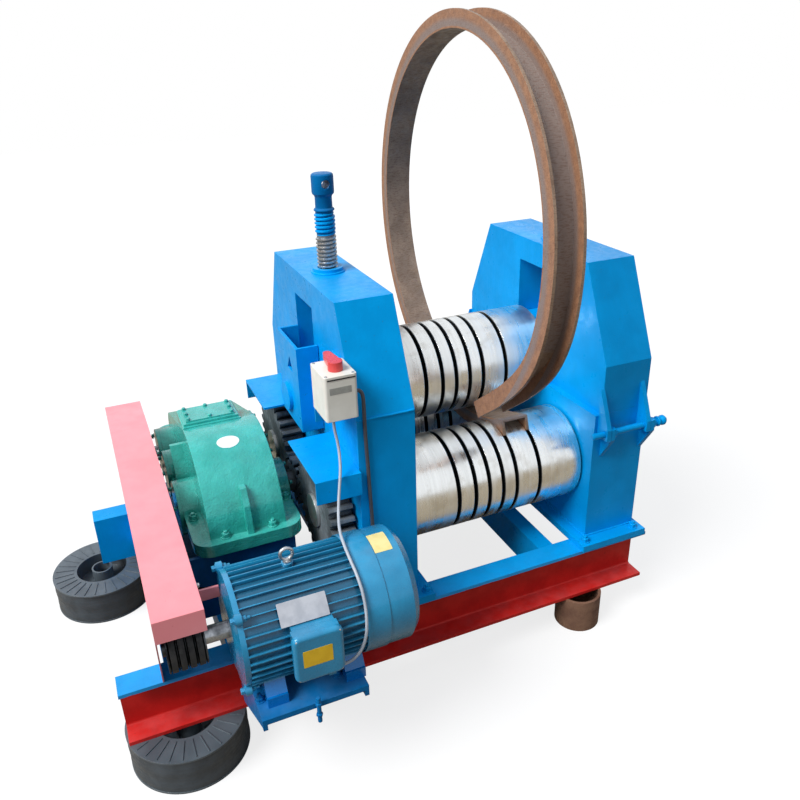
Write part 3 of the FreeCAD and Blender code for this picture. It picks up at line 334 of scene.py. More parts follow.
    def mesh(self, name: str) -> bpy.types.Mesh:
        """The surface as a mesh in the row frame, with doubles merged and faces outwards.

        Args:
            name: The mesh's name.

        Returns:
            The mesh, in metres.
        """
        mesh = bpy.data.meshes.new(name)
        faces = [*self.quads.tolist(), *self.triangles.tolist()]
        mesh.from_pydata(Datum.places(self.points).tolist(), [], faces)
        work = bmesh.new()
        work.from_mesh(mesh)
        bmesh.ops.remove_doubles(work, verts=work.verts, dist=1e-6)
        bmesh.ops.dissolve_degenerate(work, edges=work.edges, dist=1e-7)
        bmesh.ops.recalc_face_normals(work, faces=work.faces)
        work.to_mesh(mesh)
        work.free()
        return mesh

    def finish(self, name: str, finish: "Finish", body: str = "frame",
               crease: float = 35.0) -> bpy.types.Object:
        """Makes a piece of the surface.

        Args:
            name: The piece's name.
            finish: What it is finished in.
            body: The CAD body that it moves with.
            crease: Edges sharper than this many degrees stay sharp.

        Returns:
            The piece.
        """
        mesh = self.mesh(name)
        mesh.shade_smooth()
        mesh.set_sharp_from_angle(angle=math.radians(crease))
        return seat(name, mesh, finish, body)


# ---------------------------------------------------------------- finishes

# A Map Range node that eases in and out takes a value, its two bounds and what they become.
SMOOTH = {"interpolation_type": "SMOOTHSTEP"}
# A Mix node of colours takes the share at input 0 and the colours at 6 and 7, and gives output 2.
COLOURS = {"data_type": "RGBA", "out": 2}


def linear(hex_colour: str) -> tuple[float, float, float, float]:
    """Linear light values of an sRGB colour such as "0a7fd6", and full opacity."""
    parts = [int(hex_colour[i:i + 2], 16) / 255 for i in (0, 2, 4)]
    values = [c / 12.92 if c <= 0.04045 else ((c + 0.055) / 1.055) ** 2.4 for c in parts]
    return values[0], values[1], values[2], 1.0


def cleared(owner: bpy.types.Material | bpy.types.World) -> Tree:
    """The node tree of a material or of the world, with nothing in it."""
    owner.use_nodes = True
    owner.node_tree.nodes.clear()
    return owner.node_tree


def add(tree: Tree, kind: str, inputs: dict[Any, Any] | Sequence[Any] = (), out: int | str = 0,
        **settings: Any) -> Socket | None:
    """Adds a node with its settings and links.

    Args:
        tree: The node tree of a material or of the world.
        kind: The node's type name, without the word ShaderNode.
        inputs: Values or other nodes' outputs, in the sockets' order, or by name or number.
        out: Name or number of the output that is wanted.
        settings: The node's own properties.

    Returns:
        The wanted output, or None from a node that has no outputs.
    """
    node = tree.nodes.new("ShaderNode" + kind)
    for key, value in settings.items():
        setattr(node, key, value)
    for key, value in inputs.items() if isinstance(inputs, dict) else enumerate(inputs):
        if isinstance(value, Socket):
            tree.links.new(value, node.inputs[key])
        else:
            node.inputs[key].default_value = value
    return node.outputs[out] if node.outputs else None


@dataclass(frozen=True)
class Finish:
    """What a surface is made of and how it was finished: the part that all materials share.

    Colours are sRGB hex values and lengths are millimetres.
    """

    name: str
    slot: Slot
    colour: str
    shade: str
    roughness: float = 0.4
    smoothest: float = 0.8
    dullest: float = 1.25
    metallic: float = 0.0
    ior: float = 1.5
    specular: float = 0.5
    tint: str = "ffffff"
    coat: float = 0.0
    coat_roughness: float = 0.12
    patch: float = 60.0
    grain: float = 2.0
    relief: float = 0.05
    edge: float = 1.2

    @property
    def material(self) -> bpy.types.Material:
        """The finish as a material, made when it is first asked for."""
        return bpy.data.materials.get(self.name) or self.build()

    def build(self) -> bpy.types.Material:
        """Makes the material: shader, colour, gloss and relief."""
        material = bpy.data.materials.new(self.name)
        tree = cleared(material)
        shader = add(tree, "BsdfPrincipled", {
            "Base Color": self.paint(tree), "Roughness": self.gloss(tree),
            "Normal": self.bumps(tree), "Metallic": self.metallic, "IOR": self.ior,
            "Specular IOR Level": self.specular, "Specular Tint": linear(self.tint),
            "Coat Weight": self.coat, "Coat Roughness": self.coat_roughness})
        add(tree, "OutputMaterial", {"Surface": shader})
        return material

    def noise(self, tree: Tree, size: float, detail: float = 3.0,
              stretch: Point = (1.0, 1.0, 1.0), contrast: float = 1.0) -> Socket:
        """Cloudy pattern from 0 to 1, whose clouds are size millimetres across.

        Args:
            tree: The material's tree.
            size: Width of a cloud.
            detail: How many finer layers it has.
            stretch: How many times longer the clouds are along each axis.
            contrast: Above 1, the pattern is pushed towards 0 and 1.

        Returns:
            The pattern's value.
        """
        where = add(tree, "TexCoord", out="Object")
        scaled = add(tree, "Mapping", {"Vector": where,
                                       "Scale": [1 / (size * MM * s) for s in stretch]})
        cloud = add(tree, "TexNoise", {"Vector": scaled, "Scale": 1.0, "Detail": detail,
                                       "Roughness": 0.55}, out="Fac")
        half = 0.25 / contrast
        return add(tree, "MapRange", (cloud, 0.5 - half, 0.5 + half), **SMOOTH)

    def mottled(self, tree: Tree, colour: str, shade: str, size: float, **cloud: Any) -> Socket:
        """Two colours in cloudy patches.

        Args:
            tree: The material's tree.
            colour: One colour.
            shade: The other.
            size: Width of a patch.
            cloud: The patches' detail, stretch and contrast, as noise takes them.

        Returns:
            The colour.
        """
        share = self.noise(tree, size, **cloud)
        return add(tree, "Mix", {0: share, 6: linear(colour), 7: linear(shade)}, **COLOURS)

    def over(self, tree: Tree, base: Socket, top: Socket | str, mask: Socket, low: float = 0.0,
             high: float = 1.0, most: float = 1.0) -> Socket:
        """A thin coat over what is there, where a mask rises from low to high.

        Args:
            tree: The material's tree.
            base: The colour that is there.
            top: The colour laid over it, as a node's output or as a hex value.
            mask: What says where the coat lies.
            low: Value of the mask at which there is none of it.
            high: Value at which it is thickest.
            most: How much of the base it hides there.

        Returns:
            The colour.
        """
        share = add(tree, "MapRange", (mask, low, high, 0.0, most), **SMOOTH)
        coat = linear(top) if isinstance(top, str) else top
        return add(tree, "Mix", {0: share, 6: base, 7: coat}, **COLOURS)

    def off_axis(self, tree: Tree, y: float, z: float) -> Socket:
        """Distance from a line along x.

        Args:
            tree: The material's tree.
            y: The line's place from front to back.
            z: Its height.

        Returns:
            The distance, in metres.
        """
        centre = Datum.place(0, y, z)
        where = add(tree, "TexCoord", out="Object")
        aside = add(tree, "VectorMath", (where, (0, centre.y, centre.z)), operation="SUBTRACT")
        flat = add(tree, "VectorMath", (aside, (0, 1, 1)), operation="MULTIPLY")
        return add(tree, "VectorMath", (flat,), out="Value", operation="LENGTH")

    def level(self, tree: Tree) -> Socket:
        """Height above the floor, in metres."""
        return add(tree, "SeparateXYZ", (add(tree, "TexCoord", out="Object"),), out="Z")

    def paint(self, tree: Tree) -> Socket:
        """Colour: the two shades in soft patches."""
        return self.mottled(tree, self.colour, self.shade, self.patch, contrast=1.3)

    def wear(self, tree: Tree) -> Socket:
        """Where the gloss is worn off, from 0 to 1, in finer patches than the colour."""
        return self.noise(tree, self.patch / 4)

    def gloss(self, tree: Tree) -> Socket:
        """Roughness: from its smoothest to its dullest as the wear goes."""
        bounds = (self.roughness * self.smoothest, min(1.0, self.roughness * self.dullest))
        return add(tree, "MapRange", (self.wear(tree), 0, 1, *bounds), **SMOOTH)

    def bumps(self, tree: Tree) -> Socket:
        """Relief: the finish's grain, on edges that are slightly round."""
        rounded = add(tree, "Bevel", {"Radius": self.edge * MM}, samples=4)
        return add(tree, "Bump", {"Height": self.height(tree), "Distance": self.relief * MM,
                                  "Strength": 1.0, "Normal": rounded})

    def height(self, tree: Tree) -> Socket:
        """Height of the grain, from 0 to 1."""
        return self.noise(tree, self.grain, detail=2.0)


@dataclass(frozen=True)
class Enamel(Finish):
    """Machine enamel on steel plate: glossy, brushed on, with chips and dust in the finish."""

    roughness: float = 0.38
    grain: float = 3.0
    relief: float = 0.1
    chip: str = "3b3f45"
    chip_size: float = 9.0
    streak: float = 28.0
    brush: float = 6.0
    dust: float = 0.05
    dust_colour: str = "c9d2d8"
    dust_patch: float = 45.0

    def paint(self, tree: Tree) -> Socket:
        """Two shades in streaks that run down, chips to the primer and a film of dust on top."""
        base = self.mottled(tree, self.colour, self.shade, self.patch, contrast=1.4)
        streaks = self.noise(tree, self.streak, stretch=(1, 1, 7))
        base = self.over(tree, base, self.shade, streaks, most=0.3)
        chips = add(tree, "MapRange", (self.noise(tree, self.chip_size, detail=4), 0.96, 0.99),
                    **SMOOTH)
        base = self.over(tree, base, self.chip, chips, most=0.3)
        up = add(tree, "SeparateXYZ", (add(tree, "NewGeometry", out="Normal"),), out="Z")
        lying = add(tree, "MapRange", (up, 0.5, 0.95, 0, self.dust), **SMOOTH)
        film = add(tree, "Math", (lying, self.noise(tree, self.dust_patch)), operation="MULTIPLY")
        return add(tree, "Mix", {0: film, 6: base, 7: linear(self.dust_colour)}, **COLOURS)

    def height(self, tree: Tree) -> Socket:
        """Brush marks that run down, over the fine orange peel of the coat."""
        marks = self.noise(tree, self.brush, stretch=(1, 1, 12))
        return add(tree, "Math", (marks, self.noise(tree, self.grain)), operation="ADD")


@dataclass(frozen=True)
class TwoToneBeam(Enamel):
    """Red oxide enamel on the front beam, with the machine's blue brushed over its top flange."""

    top: str = "01a1ea"
    top_shade: str = "0196dc"
    join: float = 252.0
    waver: float = 2.0
    waver_length: float = 30.0

    def paint(self, tree: Tree) -> Socket:
        """Red below the join, blue above it, with a wavering brush line between."""
        red = super().paint(tree)
        blue = self.mottled(tree, self.top, self.top_shade, self.patch)
        sway = self.waver * MM
        waver = add(tree, "MapRange", (self.noise(tree, self.waver_length), 0, 1, -sway, sway),
                    **SMOOTH)
        line = add(tree, "Math", (self.level(tree), waver), operation="ADD")
        return self.over(tree, red, blue, line, (self.join - 1) * MM, (self.join + 1) * MM)


@dataclass(frozen=True)
class CastEnamel(Enamel):
    """Enamel over a sand casting: the sand's coarse grain stands through the coat."""

    def height(self, tree: Tree) -> Socket:
        """Grains of the sand mould with shallow dents between them."""
        where = add(tree, "TexCoord", out="Object")
        sand = add(tree, "TexVoronoi", {"Vector": where, "Scale": 1 / (self.grain * MM)},
                   out="Distance", feature="SMOOTH_F1")
        return add(tree, "Math", (sand, self.noise(tree, self.grain * 5)), operation="ADD")


@dataclass(frozen=True)
class FinnedEnamel(CastEnamel):
    """The motor's enamel: painted shade between the fins, and the frame's blue brushed over the
    feet.
    """

    axis_y: float = -105.0
    axis_z: float = 452.0
    fin_root: float = 123.0
    fin_tip: float = 131.0
    fin_root_shade: str = "173f54"
    feet_level: float = 392.0
    feet_colour: str = "0270be"

    def paint(self, tree: Tree) -> Socket:
        """The casting's colour, darkened towards the roots of the fins as painted shade, and blue
        on the feet.
        """
        reach = self.off_axis(tree, self.axis_y, self.axis_z)
        # Painted shade: the colour darkens from the fins' tips to their roots.
        cast = self.over(tree, super().paint(tree), self.fin_root_shade, reach, self.fin_tip * MM,
                         self.fin_root * MM, 0.75)
        low = add(tree, "MapRange", (self.level(tree), self.feet_level * MM,
                                     (self.feet_level - 3) * MM), **SMOOTH)
        outside = add(tree, "MapRange", (reach, (self.fin_tip + 1) * MM,
                                         (self.fin_tip + 3) * MM), **SMOOTH)
        feet = add(tree, "Math", (low, outside), operation="MULTIPLY")
        return add(tree, "Mix", {0: feet, 6: cast, 7: linear(self.feet_colour)}, **COLOURS)


@dataclass(frozen=True)
class TurnedRoller(Finish):
    """Steel turned on a lathe and polished by the bars it bends; black in its grooves is painted
    shade.

    The painted shade is wherever the surface lies between the barrel and the grooves' bottoms.
    """

    colour: str = "f6f5f0"
    shade: str = "eae9e4"
    roughness: float = 0.28
    dullest: float = 1.3
    metallic: float = 1.0
    patch: float = 50.0
    relief: float = 0.012
    edge: float = 1.5
    axis_y: float = 0.0
    axis_z: float = 0.0
    barrel: float = 135.0
    core: float = 90.0
    groove_shade: str = "202427"
    groove_dulls: float = 0.45
    stain: str = "8c7a5c"
    ring: float = 9.0
    rub: float = 22.0
    tool_mark: float = 1.5
    scratch: float = 3.0

    def paint(self, tree: Tree) -> Socket:
        """Bright steel with rings of wear and brown stain, and black painted shade in the grooves.
        """
        steel = self.mottled(tree, self.colour, self.shade, self.ring, stretch=(1, 40, 40))
        worn = self.noise(tree, self.patch, detail=5)
        steel = self.over(tree, steel, self.stain, worn, 0.6, 1, 0.2)
        # Painted shade: black in the grooves, between the barrel and the grooves' bottoms.
        return add(tree, "Mix", {0: self.groove(tree), 6: steel, 7: linear(self.groove_shade)}, **COLOURS)

    def groove(self, tree: Tree) -> Socket:
        """1 inside the grooves and 0 on the barrel and on the journals."""
        reach = self.off_axis(tree, self.axis_y, self.axis_z)
        below = add(tree, "MapRange", (reach, (self.barrel - 1) * MM, (self.barrel - 5) * MM),
                    **SMOOTH)
        above = add(tree, "MapRange", (reach, (self.core - 8) * MM, (self.core - 4) * MM),
                    **SMOOTH)
        return add(tree, "Math", (below, above), operation="MULTIPLY")

    def wear(self, tree: Tree) -> Socket:
        """Short strokes round the barrel, where bars have rubbed."""
        return self.noise(tree, self.rub, stretch=(1, 9, 9))

    def gloss(self, tree: Tree) -> Socket:
        """Smooth where bars have rubbed, dull in the grooves."""
        dull_in_groove = add(tree, "Math", (self.groove(tree), self.groove_dulls), operation="MULTIPLY")
        return add(tree, "Math", (super().gloss(tree), dull_in_groove), operation="ADD")

    def height(self, tree: Tree) -> Socket:
        """Tool marks round the barrel, drawn 1.5 mm apart so that they show, and some scratches."""
        marks = self.noise(tree, self.tool_mark, stretch=(1, 60, 60))
        scratches = self.noise(tree, self.scratch, stretch=(20, 1, 1))
        return add(tree, "Math", (marks, scratches), operation="ADD")


@dataclass(frozen=True)
class OiledSteel(Finish):
    """Machined steel under old oil: dark, with a dull shine."""

    oil: str = "17181a"
    oiled: float = 1.0
    gap: float = 0.0
    cut: float = 4.0

    def paint(self, tree: Tree) -> Socket:
        """Grey steel under patches of black oil, with black as painted shade in gaps up to a given
        width.
        """
        steel = self.mottled(tree, self.colour, self.shade, self.cut)
        film = add(tree, "MapRange", (self.noise(tree, self.patch), 0.15, 0.8, 0, self.oiled),
                   **SMOOTH)
        if self.gap:
            # Painted shade: black where ambient occlusion finds gaps narrower than gap.
            light = add(tree, "AmbientOcclusion", {"Distance": self.gap * MM}, out="AO", samples=8)
            corners = add(tree, "MapRange", (light, 0.8, 0.45), **SMOOTH)
            film = add(tree, "Math", (film, corners), operation="MAXIMUM")
        return add(tree, "Mix", {0: film, 6: steel, 7: linear(self.oil)}, **COLOURS)


@dataclass(frozen=True)
class MillScale(Finish):
    """Hot-rolled steel: scale with brown rust in patches and fine specks."""

    rust: str = "633a24"
    speck: float = 3.0

    def paint(self, tree: Tree) -> Socket:
        """Two shades of scale in patches, specked with rust."""
        base = self.mottled(tree, self.colour, self.shade, self.patch, detail=5, contrast=1.5)
        specks = add(tree, "MapRange", (self.noise(tree, self.speck, detail=4), 0.6, 0.95),
                     **SMOOTH)
        return self.over(tree, base, self.rust, specks, most=0.35)

    def height(self, tree: Tree) -> Socket:
        """Pitted scale."""
        return self.noise(tree, self.grain, detail=6, contrast=1.6)


@dataclass(frozen=True)
class RolledChannel(MillScale):
    """The bent channel bar: brown inside, grey scale on the web's outer face, orange flanges."""

    ring_y: float = 404.0
    ring_z: float = 1107.7
    web_face: float = 516.5
    web: str = "8b7f7a"
    flange: str = "b38260"
    flange_shade: str = "966c52"
    flange_patch: float = 14.0
    streak: float = 2.6

    def paint(self, tree: Tree) -> Socket:
        """Colour by where a face lies on the section, with streaks along the bar."""
        normal = add(tree, "NewGeometry", out="Normal")
        aside = add(tree, "SeparateXYZ", (normal,), out="X")
        sideways = add(tree, "Math", (aside,), operation="ABSOLUTE")
        orange = self.mottled(tree, self.flange, self.flange_shade, self.flange_patch, detail=5)
        base = self.over(tree, super().paint(tree), orange, sideways, 0.55, 0.9, 0.9)
        reach = self.off_axis(tree, self.ring_y, self.ring_z)
        outside = add(tree, "MapRange", (reach, (self.web_face - 3) * MM,
                                         (self.web_face - 1) * MM), **SMOOTH)
        near_web = add(tree, "MapRange", (reach, (self.web_face + 26) * MM,
                                          (self.web_face + 4) * MM), **SMOOTH)
        recess = add(tree, "Math", (outside, near_web), operation="MULTIPLY")
        base = self.over(tree, base, self.web, recess, most=0.85)
        marks = self.noise(tree, self.streak, detail=4, stretch=(5, 1, 1))
        streaks = add(tree, "MapRange", (marks, 0.45, 0.9), **SMOOTH)
        return self.over(tree, base, self.rust, streaks, most=0.4)


@dataclass(frozen=True)
class Sheath(Finish):
    """Soft PVC extruded over a cable's cores: even and slightly waxy."""

    roughness: float = 0.45
    ior: float = 1.53
    grain: float = 3.0
    relief: float = 0.03
    edge: float = 0.3


@dataclass(frozen=True)
class LabelFilm(Finish):
    """Blank label film stuck on flat: an even colour without a grain."""

    patch: float = 20.0
    relief: float = 0.01
    edge: float = 0.1


class Finishes:
    """The machine's finishes: what each is, with a comment on what that gives the eye."""

    # Gloss enamel brushed over plate: saturated, with wide soft highlights and faint runs.
    blue = Enamel("machine_blue_enamel", Slot.BLUE_ENAMEL, "01a1ec", "0196de", roughness=0.34,
                  specular=0.32, tint="5ac4ff", patch=90, relief=0.12, edge=1.8, dust=0.0)
    # The same enamel darkened to a deep blue under some dust: painted shade on the motor's base
    # under the motor; the screws' heads and the base's bolts share it.
    base_blue = Enamel("motor_base_blue_enamel", Slot.BLUE_ENAMEL, "066eae", "05629e",
                       roughness=0.36, specular=0.25, tint="5ac4ff", edge=1.8)
    # Enamel under the reducer, darkened to nearly navy as painted shade, and dull.
    dark_blue = Enamel("pedestal_blue_enamel", Slot.BLUE_ENAMEL, "0a548f", "09487e",
                       roughness=0.4, tint="5ac4ff")
    # Red oxide enamel on rolled channel: warm, flat red, chipped to brown primer.
    two_tone = TwoToneBeam("front_beam_red_and_blue_enamel", Slot.BLUE_ENAMEL, "d42a26", "bc201e",
                           chip="3a2a26", tint="ffb0a4")
    # Enamel on folded sheet: pale salmon, very even, with darker chips.
    salmon = Enamel("belt_guard_salmon_enamel", Slot.PINK_ENAMEL, "f79da4", "f3949b", patch=160,
                    relief=0.06, chip="c05a60", tint="ffd8dc")
    # Thick gloss enamel on a sand casting: wet highlights that break up on the grain.
    green = CastEnamel("reducer_green_enamel", Slot.GREEN_ENAMEL, "3ab9ad", "28a296",
                       roughness=0.28, coat=0.7, coat_roughness=0.17, relief=0.75, grain=3.2,
                       edge=3, chip="2b6f62", tint="b0fff4")
    # Sprayed gloss enamel on fine castings and pressed sheet: smooth, with long highlights.
    sprayed = dict(slot=Slot.MOTOR_ENAMEL, colour="2391bf", shade="1d80ac", roughness=0.26,
                   coat=0.75, coat_roughness=0.2, grain=2, edge=1, chip="2a4f63", tint="94d4ff")
    motor = CastEnamel("motor_blue_green_enamel", **sprayed)
    # The motor body's enamel also paints shade between its fins.
    finned = FinnedEnamel("motor_body_enamel", **sprayed)
    # Moulded polystyrene: charcoal grey with a satin skin.
    reel = Finish("reel_black_polystyrene", Slot.BLACK_PLASTIC, "566067", "485158",
                  roughness=0.38, ior=1.59, grain=4)
    # Stretch film wound in many layers: dark, with a silky shine that wavers.
    film = Finish("reel_black_film", Slot.BLACK_PLASTIC, "444c53", "383f45", patch=40, grain=9,
                  relief=0.06, edge=0.5)
    # Cut pipe left outdoors: matt brown rust with pits.
    pipe = MillScale("pipe_rusty_steel", Slot.RUSTY_PIPE, "80604c", "67493a", roughness=0.75,
                     relief=0.5, grain=5)
    # Hot-rolled bar, freshly bent: brown-grey scale that still has a low sheen.
    scale = RolledChannel("bar_hot_rolled_steel", Slot.MILL_SCALE, "a08873", "84705f",
                          roughness=0.52, metallic=0.1, relief=0.2, grain=4, patch=70)
    # Cut gear teeth under old oil: grey flanks, and black painted shade in the gaps between the
    # teeth.
    gear = OiledSteel("gear_oiled_steel", Slot.MACHINED_STEEL, "8d969b", "798187", roughness=0.6,
                      metallic=0.55, patch=70, relief=0.08, grain=1.5, oil="1d2124", oiled=0.55,
                      gap=22)
    # Turned shafts with a film of oil: darkened metal with a blurred mirror.
    steel = OiledSteel("screw_machined_steel", Slot.MACHINED_STEEL, "b9bcbf", "9da0a4",
                       roughness=0.35, metallic=1.0, oil="4a4c4f")
    # Zinc plating: light grey metal with small cloudy crystals.
    zinc = Finish("zinc_plated_steel", Slot.MACHINED_STEEL, "c9cbcc", "aeb0b2", roughness=0.32,
                  metallic=1.0, patch=12, relief=0.03, edge=0.6)
    # Machined grey iron: darker and duller than steel.
    iron = OiledSteel("pulley_cast_iron", Slot.GREY_IRON, "5c5f62", "4c4f52", roughness=0.5,
                      metallic=0.8, patch=50, relief=0.1)
    # Moulded rubber and fabric: black without a highlight.
    rubber = Finish("belt_black_rubber", Slot.BELT_RUBBER, "1b1b1c", "262626", roughness=0.7,
                    ior=1.52, relief=0.1, edge=0.6)
    # Moulded polypropylene: warm white with round edges and a satin skin.
    ivory = Finish("switch_ivory_plastic", Slot.IVORY_PLASTIC, "f1f0e7", "e6e4da",
                   roughness=0.38, ior=1.49, relief=0.02, grain=1.5, edge=2)
    # Moulded polypropylene, coloured through: bright red and fairly glossy.
    red = Finish("handle_red_plastic", Slot.RED_PLASTIC, "e2504f", "d23f40", roughness=0.3,
                 ior=1.49, relief=0.03, edge=1.5)
    # Two soft PVC sheaths: one pale grey, one charcoal and duller.
    grey_sheath = Sheath("motor_lead_grey_sheath", Slot.GREY_SHEATH, "b2bac4", "a1a9b4")
    dark_sheath = Sheath("supply_lead_dark_sheath", Slot.DARK_SHEATH, "4a4a50", "3c3c42",
                         roughness=0.5)
    # Blank label films: yellow with some gloss, cream, white, and a dull grey.
    yellow = LabelFilm("label_yellow_film", Slot.MOTOR_ENAMEL, "f0c52a", "e6ba22", roughness=0.35)
    cream = LabelFilm("label_cream_film", Slot.MOTOR_ENAMEL, "efdf9c", "e6d48c")
    white = LabelFilm("label_white_film", Slot.GREEN_ENAMEL, "f2f2ee", "e8e8e4")
    grey_label = LabelFilm("label_grey_film", Slot.IVORY_PLASTIC, "a7a8a2", "9a9b96",
                           roughness=0.45, patch=12)
    # Rolled aluminium sheet: pale, half mirror and half chalk.
    silver = Finish("nameplate_aluminium", Slot.MOTOR_ENAMEL, "c4c6cc", "b2b5bc", roughness=0.35,
                    metallic=0.6, patch=25, relief=0.02, edge=0.2)
    # Foam rubber: flat black.
    black = Finish("gasket_black_rubber", Slot.BLACK_PLASTIC, "0d0d0e", "141415", roughness=0.6,
                   relief=0.03, edge=0.2)


def dress(finish: Finish, names: str) -> None:
    """Gives CAD nodes the material that they are really finished in.

    Args:
        finish: The finish.
        names: The nodes' names, with a blank between them.
    """
    for name in names.split():
        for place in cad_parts[name].material_slots:
            place.material = finish.material
        log.info("%s: %s", name, finish.name)


# ---------------------------------------------------------------- leads

@dataclass
class Leads:
    """The lead from switch to motor, and the supply lead, whose spare length is a coil."""

    motor_route: tuple[Point, ...] = (
        (574, 52, 824), (574, 52, 796), (579, 50, 766), (581, 46, 736), (574, 22, 702),
        (556, -8, 656), (542, -37, 620), (531, -74, 602), (526, -117, 595), (524, -155, 587),
        (526, -188, 570), (528, -216, 544), (527, -236, 512), (524, -247, 478),
        (520, -250, 446), (507, -251, 413), (486, -251, 395), (468, -250, 390.5),
        (459, -250, 390))
    supply_route: tuple[Point, ...] = (
        (627, 40, 885), (633, 40, 885), (640, 39, 880.5), (643, 36.5, 870), (642.5, 33, 848),
        (641.5, 30.5, 812), (642, 30.5, 758), (644.5, 30.5, 690), (646, 30.5, 618),
        (648.5, 30.5, 546), (649, 30.5, 480), (649, 30.5, 416), (646, 30.5, 362),
        (634, 30, 322), (612, 29, 298), (580, 30, 282), (556, 48, 276), (541, 78, 268),
        (528, 108, 238), (522, 132, 186), (520, 152, 132), (519, 178, 76), (518, 210, 30),
        (517.4, 248, 13), (516, 290, 6))
    motor_length: float = 0.64
    supply_length: float = 2.93
    motor_thick: float = 7.0
    supply_thick: float = 9.0
    coil_centre: tuple[float, float] = (452, 322)
    coil_outer: float = 62.5
    coil_inner: float = 45.0
    coil_low: float = 4.8
    coil_lift: float = 9.2
    turns_down: float = 3.0
    turns_up: float = 2.4
    points_per_turn: int = 16

    def coil(self) -> list[Point]:
        """Turns that spiral in on the floor, climb on to themselves and spiral out again.

        With t turns wound, the radius falls from outer to inner over two turns, stays for one,
        in whose second half the height climbs one diameter, and then grows back.
        """
        t = np.arange(0, self.turns_down + self.turns_up, 1 / self.points_per_turn)
        pitch = (self.coil_outer - self.coil_inner) / 2
        radius = np.clip(self.coil_outer - pitch * t, self.coil_inner, None)
        radius += pitch * np.clip(t - self.turns_down, 0, None)
        climb = np.clip((t - self.turns_down + 0.5) / 0.5, 0, 1)
        height = self.coil_low + self.coil_lift * climb * climb * (3 - 2 * climb)
        x = self.coil_centre[0] + radius * np.cos(2 * math.pi * t)
        y = self.coil_centre[1] + radius * np.sin(2 * math.pi * t)
        return [tuple(p) for p in np.column_stack([x, y, height])]

    def curve(self, name: str, route: Sequence[Point], diameter: float,
              sheath: Sheath) -> bpy.types.Object:
        """A smooth spline with the route's points as its control points, as a round lead.

        Args:
            name: The lead's name.
            route: The control points.
            diameter: Outside diameter of the sheath.
            sheath: The sheath's finish.

        Returns:
            The lead, which stays with the frame.
        """
        data = bpy.data.curves.new(name, "CURVE")
        data.dimensions = "3D"
        spline = data.splines.new("NURBS")
        spline.points.add(len(route) - 1)
        for point, place in zip(spline.points, route):
            point.co = (*Datum.place(*place), 1.0)
        spline.order_u = 3
        spline.use_endpoint_u = True
        spline.resolution_u = 6
        data.bevel_depth = diameter * MM / 2
        data.bevel_resolution = 5
        data.use_fill_caps = True
        return seat(name, data, sheath, "frame")

    def build(self) -> None:
        """Both leads in place of their CAD solids."""
        motor = self.curve("motor_lead", self.motor_route, self.motor_thick, Finishes.grey_sheath)
        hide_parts("motor_cable")
        Datum.place(*self.motor_route[0])
        supply = self.curve("supply_lead", [*self.supply_route, *self.coil()],
                            self.supply_thick, Finishes.dark_sheath)
        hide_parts("supply_cable", "supply_cable_coil")
        Datum.place(*self.supply_route[0])


# ---------------------------------------------------------------- fasteners and welds

# A bead's section: a circle of radius 1 with eight corners.
BEAD = np.stack([np.cos(np.arange(8) * math.pi / 4), np.sin(np.arange(8) * math.pi / 4)], -1)
ROUND_WELD_CREASE = 80.0


def hexagon(flats: float, height: float, washer: float = 2.0, stud: float = 0.0) -> Surface:
    """A chamfered hexagon head or nut on a washer, standing up from the origin.

    The head is a profile turned in six steps; the washer and the stud are turned round ones.

    Args:
        flats: Width across the flats.
        height: Height of the head.
        washer: Thickness of the washer, or 0 for none.
        stud: How far a thread stands out of the nut.

    Returns:
        The fastener's surface.
    """
    wide = flats / math.sqrt(3)
    shape = Surface.turned([(0, washer - 0.2), (wide * 0.9, washer - 0.2), (wide, washer + 0.6),
                            (wide, washer + height - 1.2), (wide * 0.86, washer + height),
                            (0, washer + height)], sides=6)
    if washer:
        shape += Surface.turned([(0, 0), (flats * 0.72, 0), (flats * 0.72, washer - 0.4),
                                 (flats * 0.69, washer), (0, washer)], sides=28)
    if stud:
        top = washer + height + stud
        shape += Surface.turned([(0, 1), (flats * 0.3, 1), (flats * 0.3, top - 1),
                                 (flats * 0.25, top), (0, top)], sides=20)
    return shape


def weld(start: Point, end: Point, width: float = 6.0, wave: float = 3.4) -> Surface:
    """A straight bead with the ripples that the arc leaves.

    Its radius is width / 2 * (1 + 0.12 sin(2 pi s / wave)) at s along the line, less near its
    ends, and it sways up and down by the sum of two slow sines.

    Args:
        start: Where the bead begins.
        end: Where it ends.
        width: How thick it is.
        wave: Distance from ripple to ripple.

    Returns:
        The bead's surface.
    """
    ends = np.array([start, end], float)
    length = float(np.linalg.norm(ends[1] - ends[0]))
    t = np.linspace(0, 1, max(8, int(length / wave * 4)))
    path = ends[0] + (ends[1] - ends[0]) * t[:, None]
    path[:, 2] += np.sin(t * length / 23) * 0.5 + np.sin(t * length / 7.3) * 0.25
    ripple = 1 + 0.12 * np.sin(t * length / wave * 2 * math.pi)
    taper = np.clip(np.minimum(t, 1 - t) * length / width + 0.35, 0, 1)
    return Surface.along(path, (width / 2 * ripple * taper)[:, None, None] * BEAD)


def circle(x: float, y: float, z: float, radius: float, count: int) -> list[Point]:
    """Places on a circle round an axis along x, the first half a step from +y.

    The place number k is (x, y + r cos a, z + r sin a) with a = (k + 1/2) of a step.

    Args:
        x: The circle's place along the axis.
        y: The axis, from front to back.
        z: Height of the axis.
        radius: Radius of the circle.
        count: How many places.

    Returns:
        The places.
    """
    return [(x, y + radius * math.cos(a), z + radius * math.sin(a))
            for a in (np.arange(count) + 0.5) * 2 * math.pi / count]


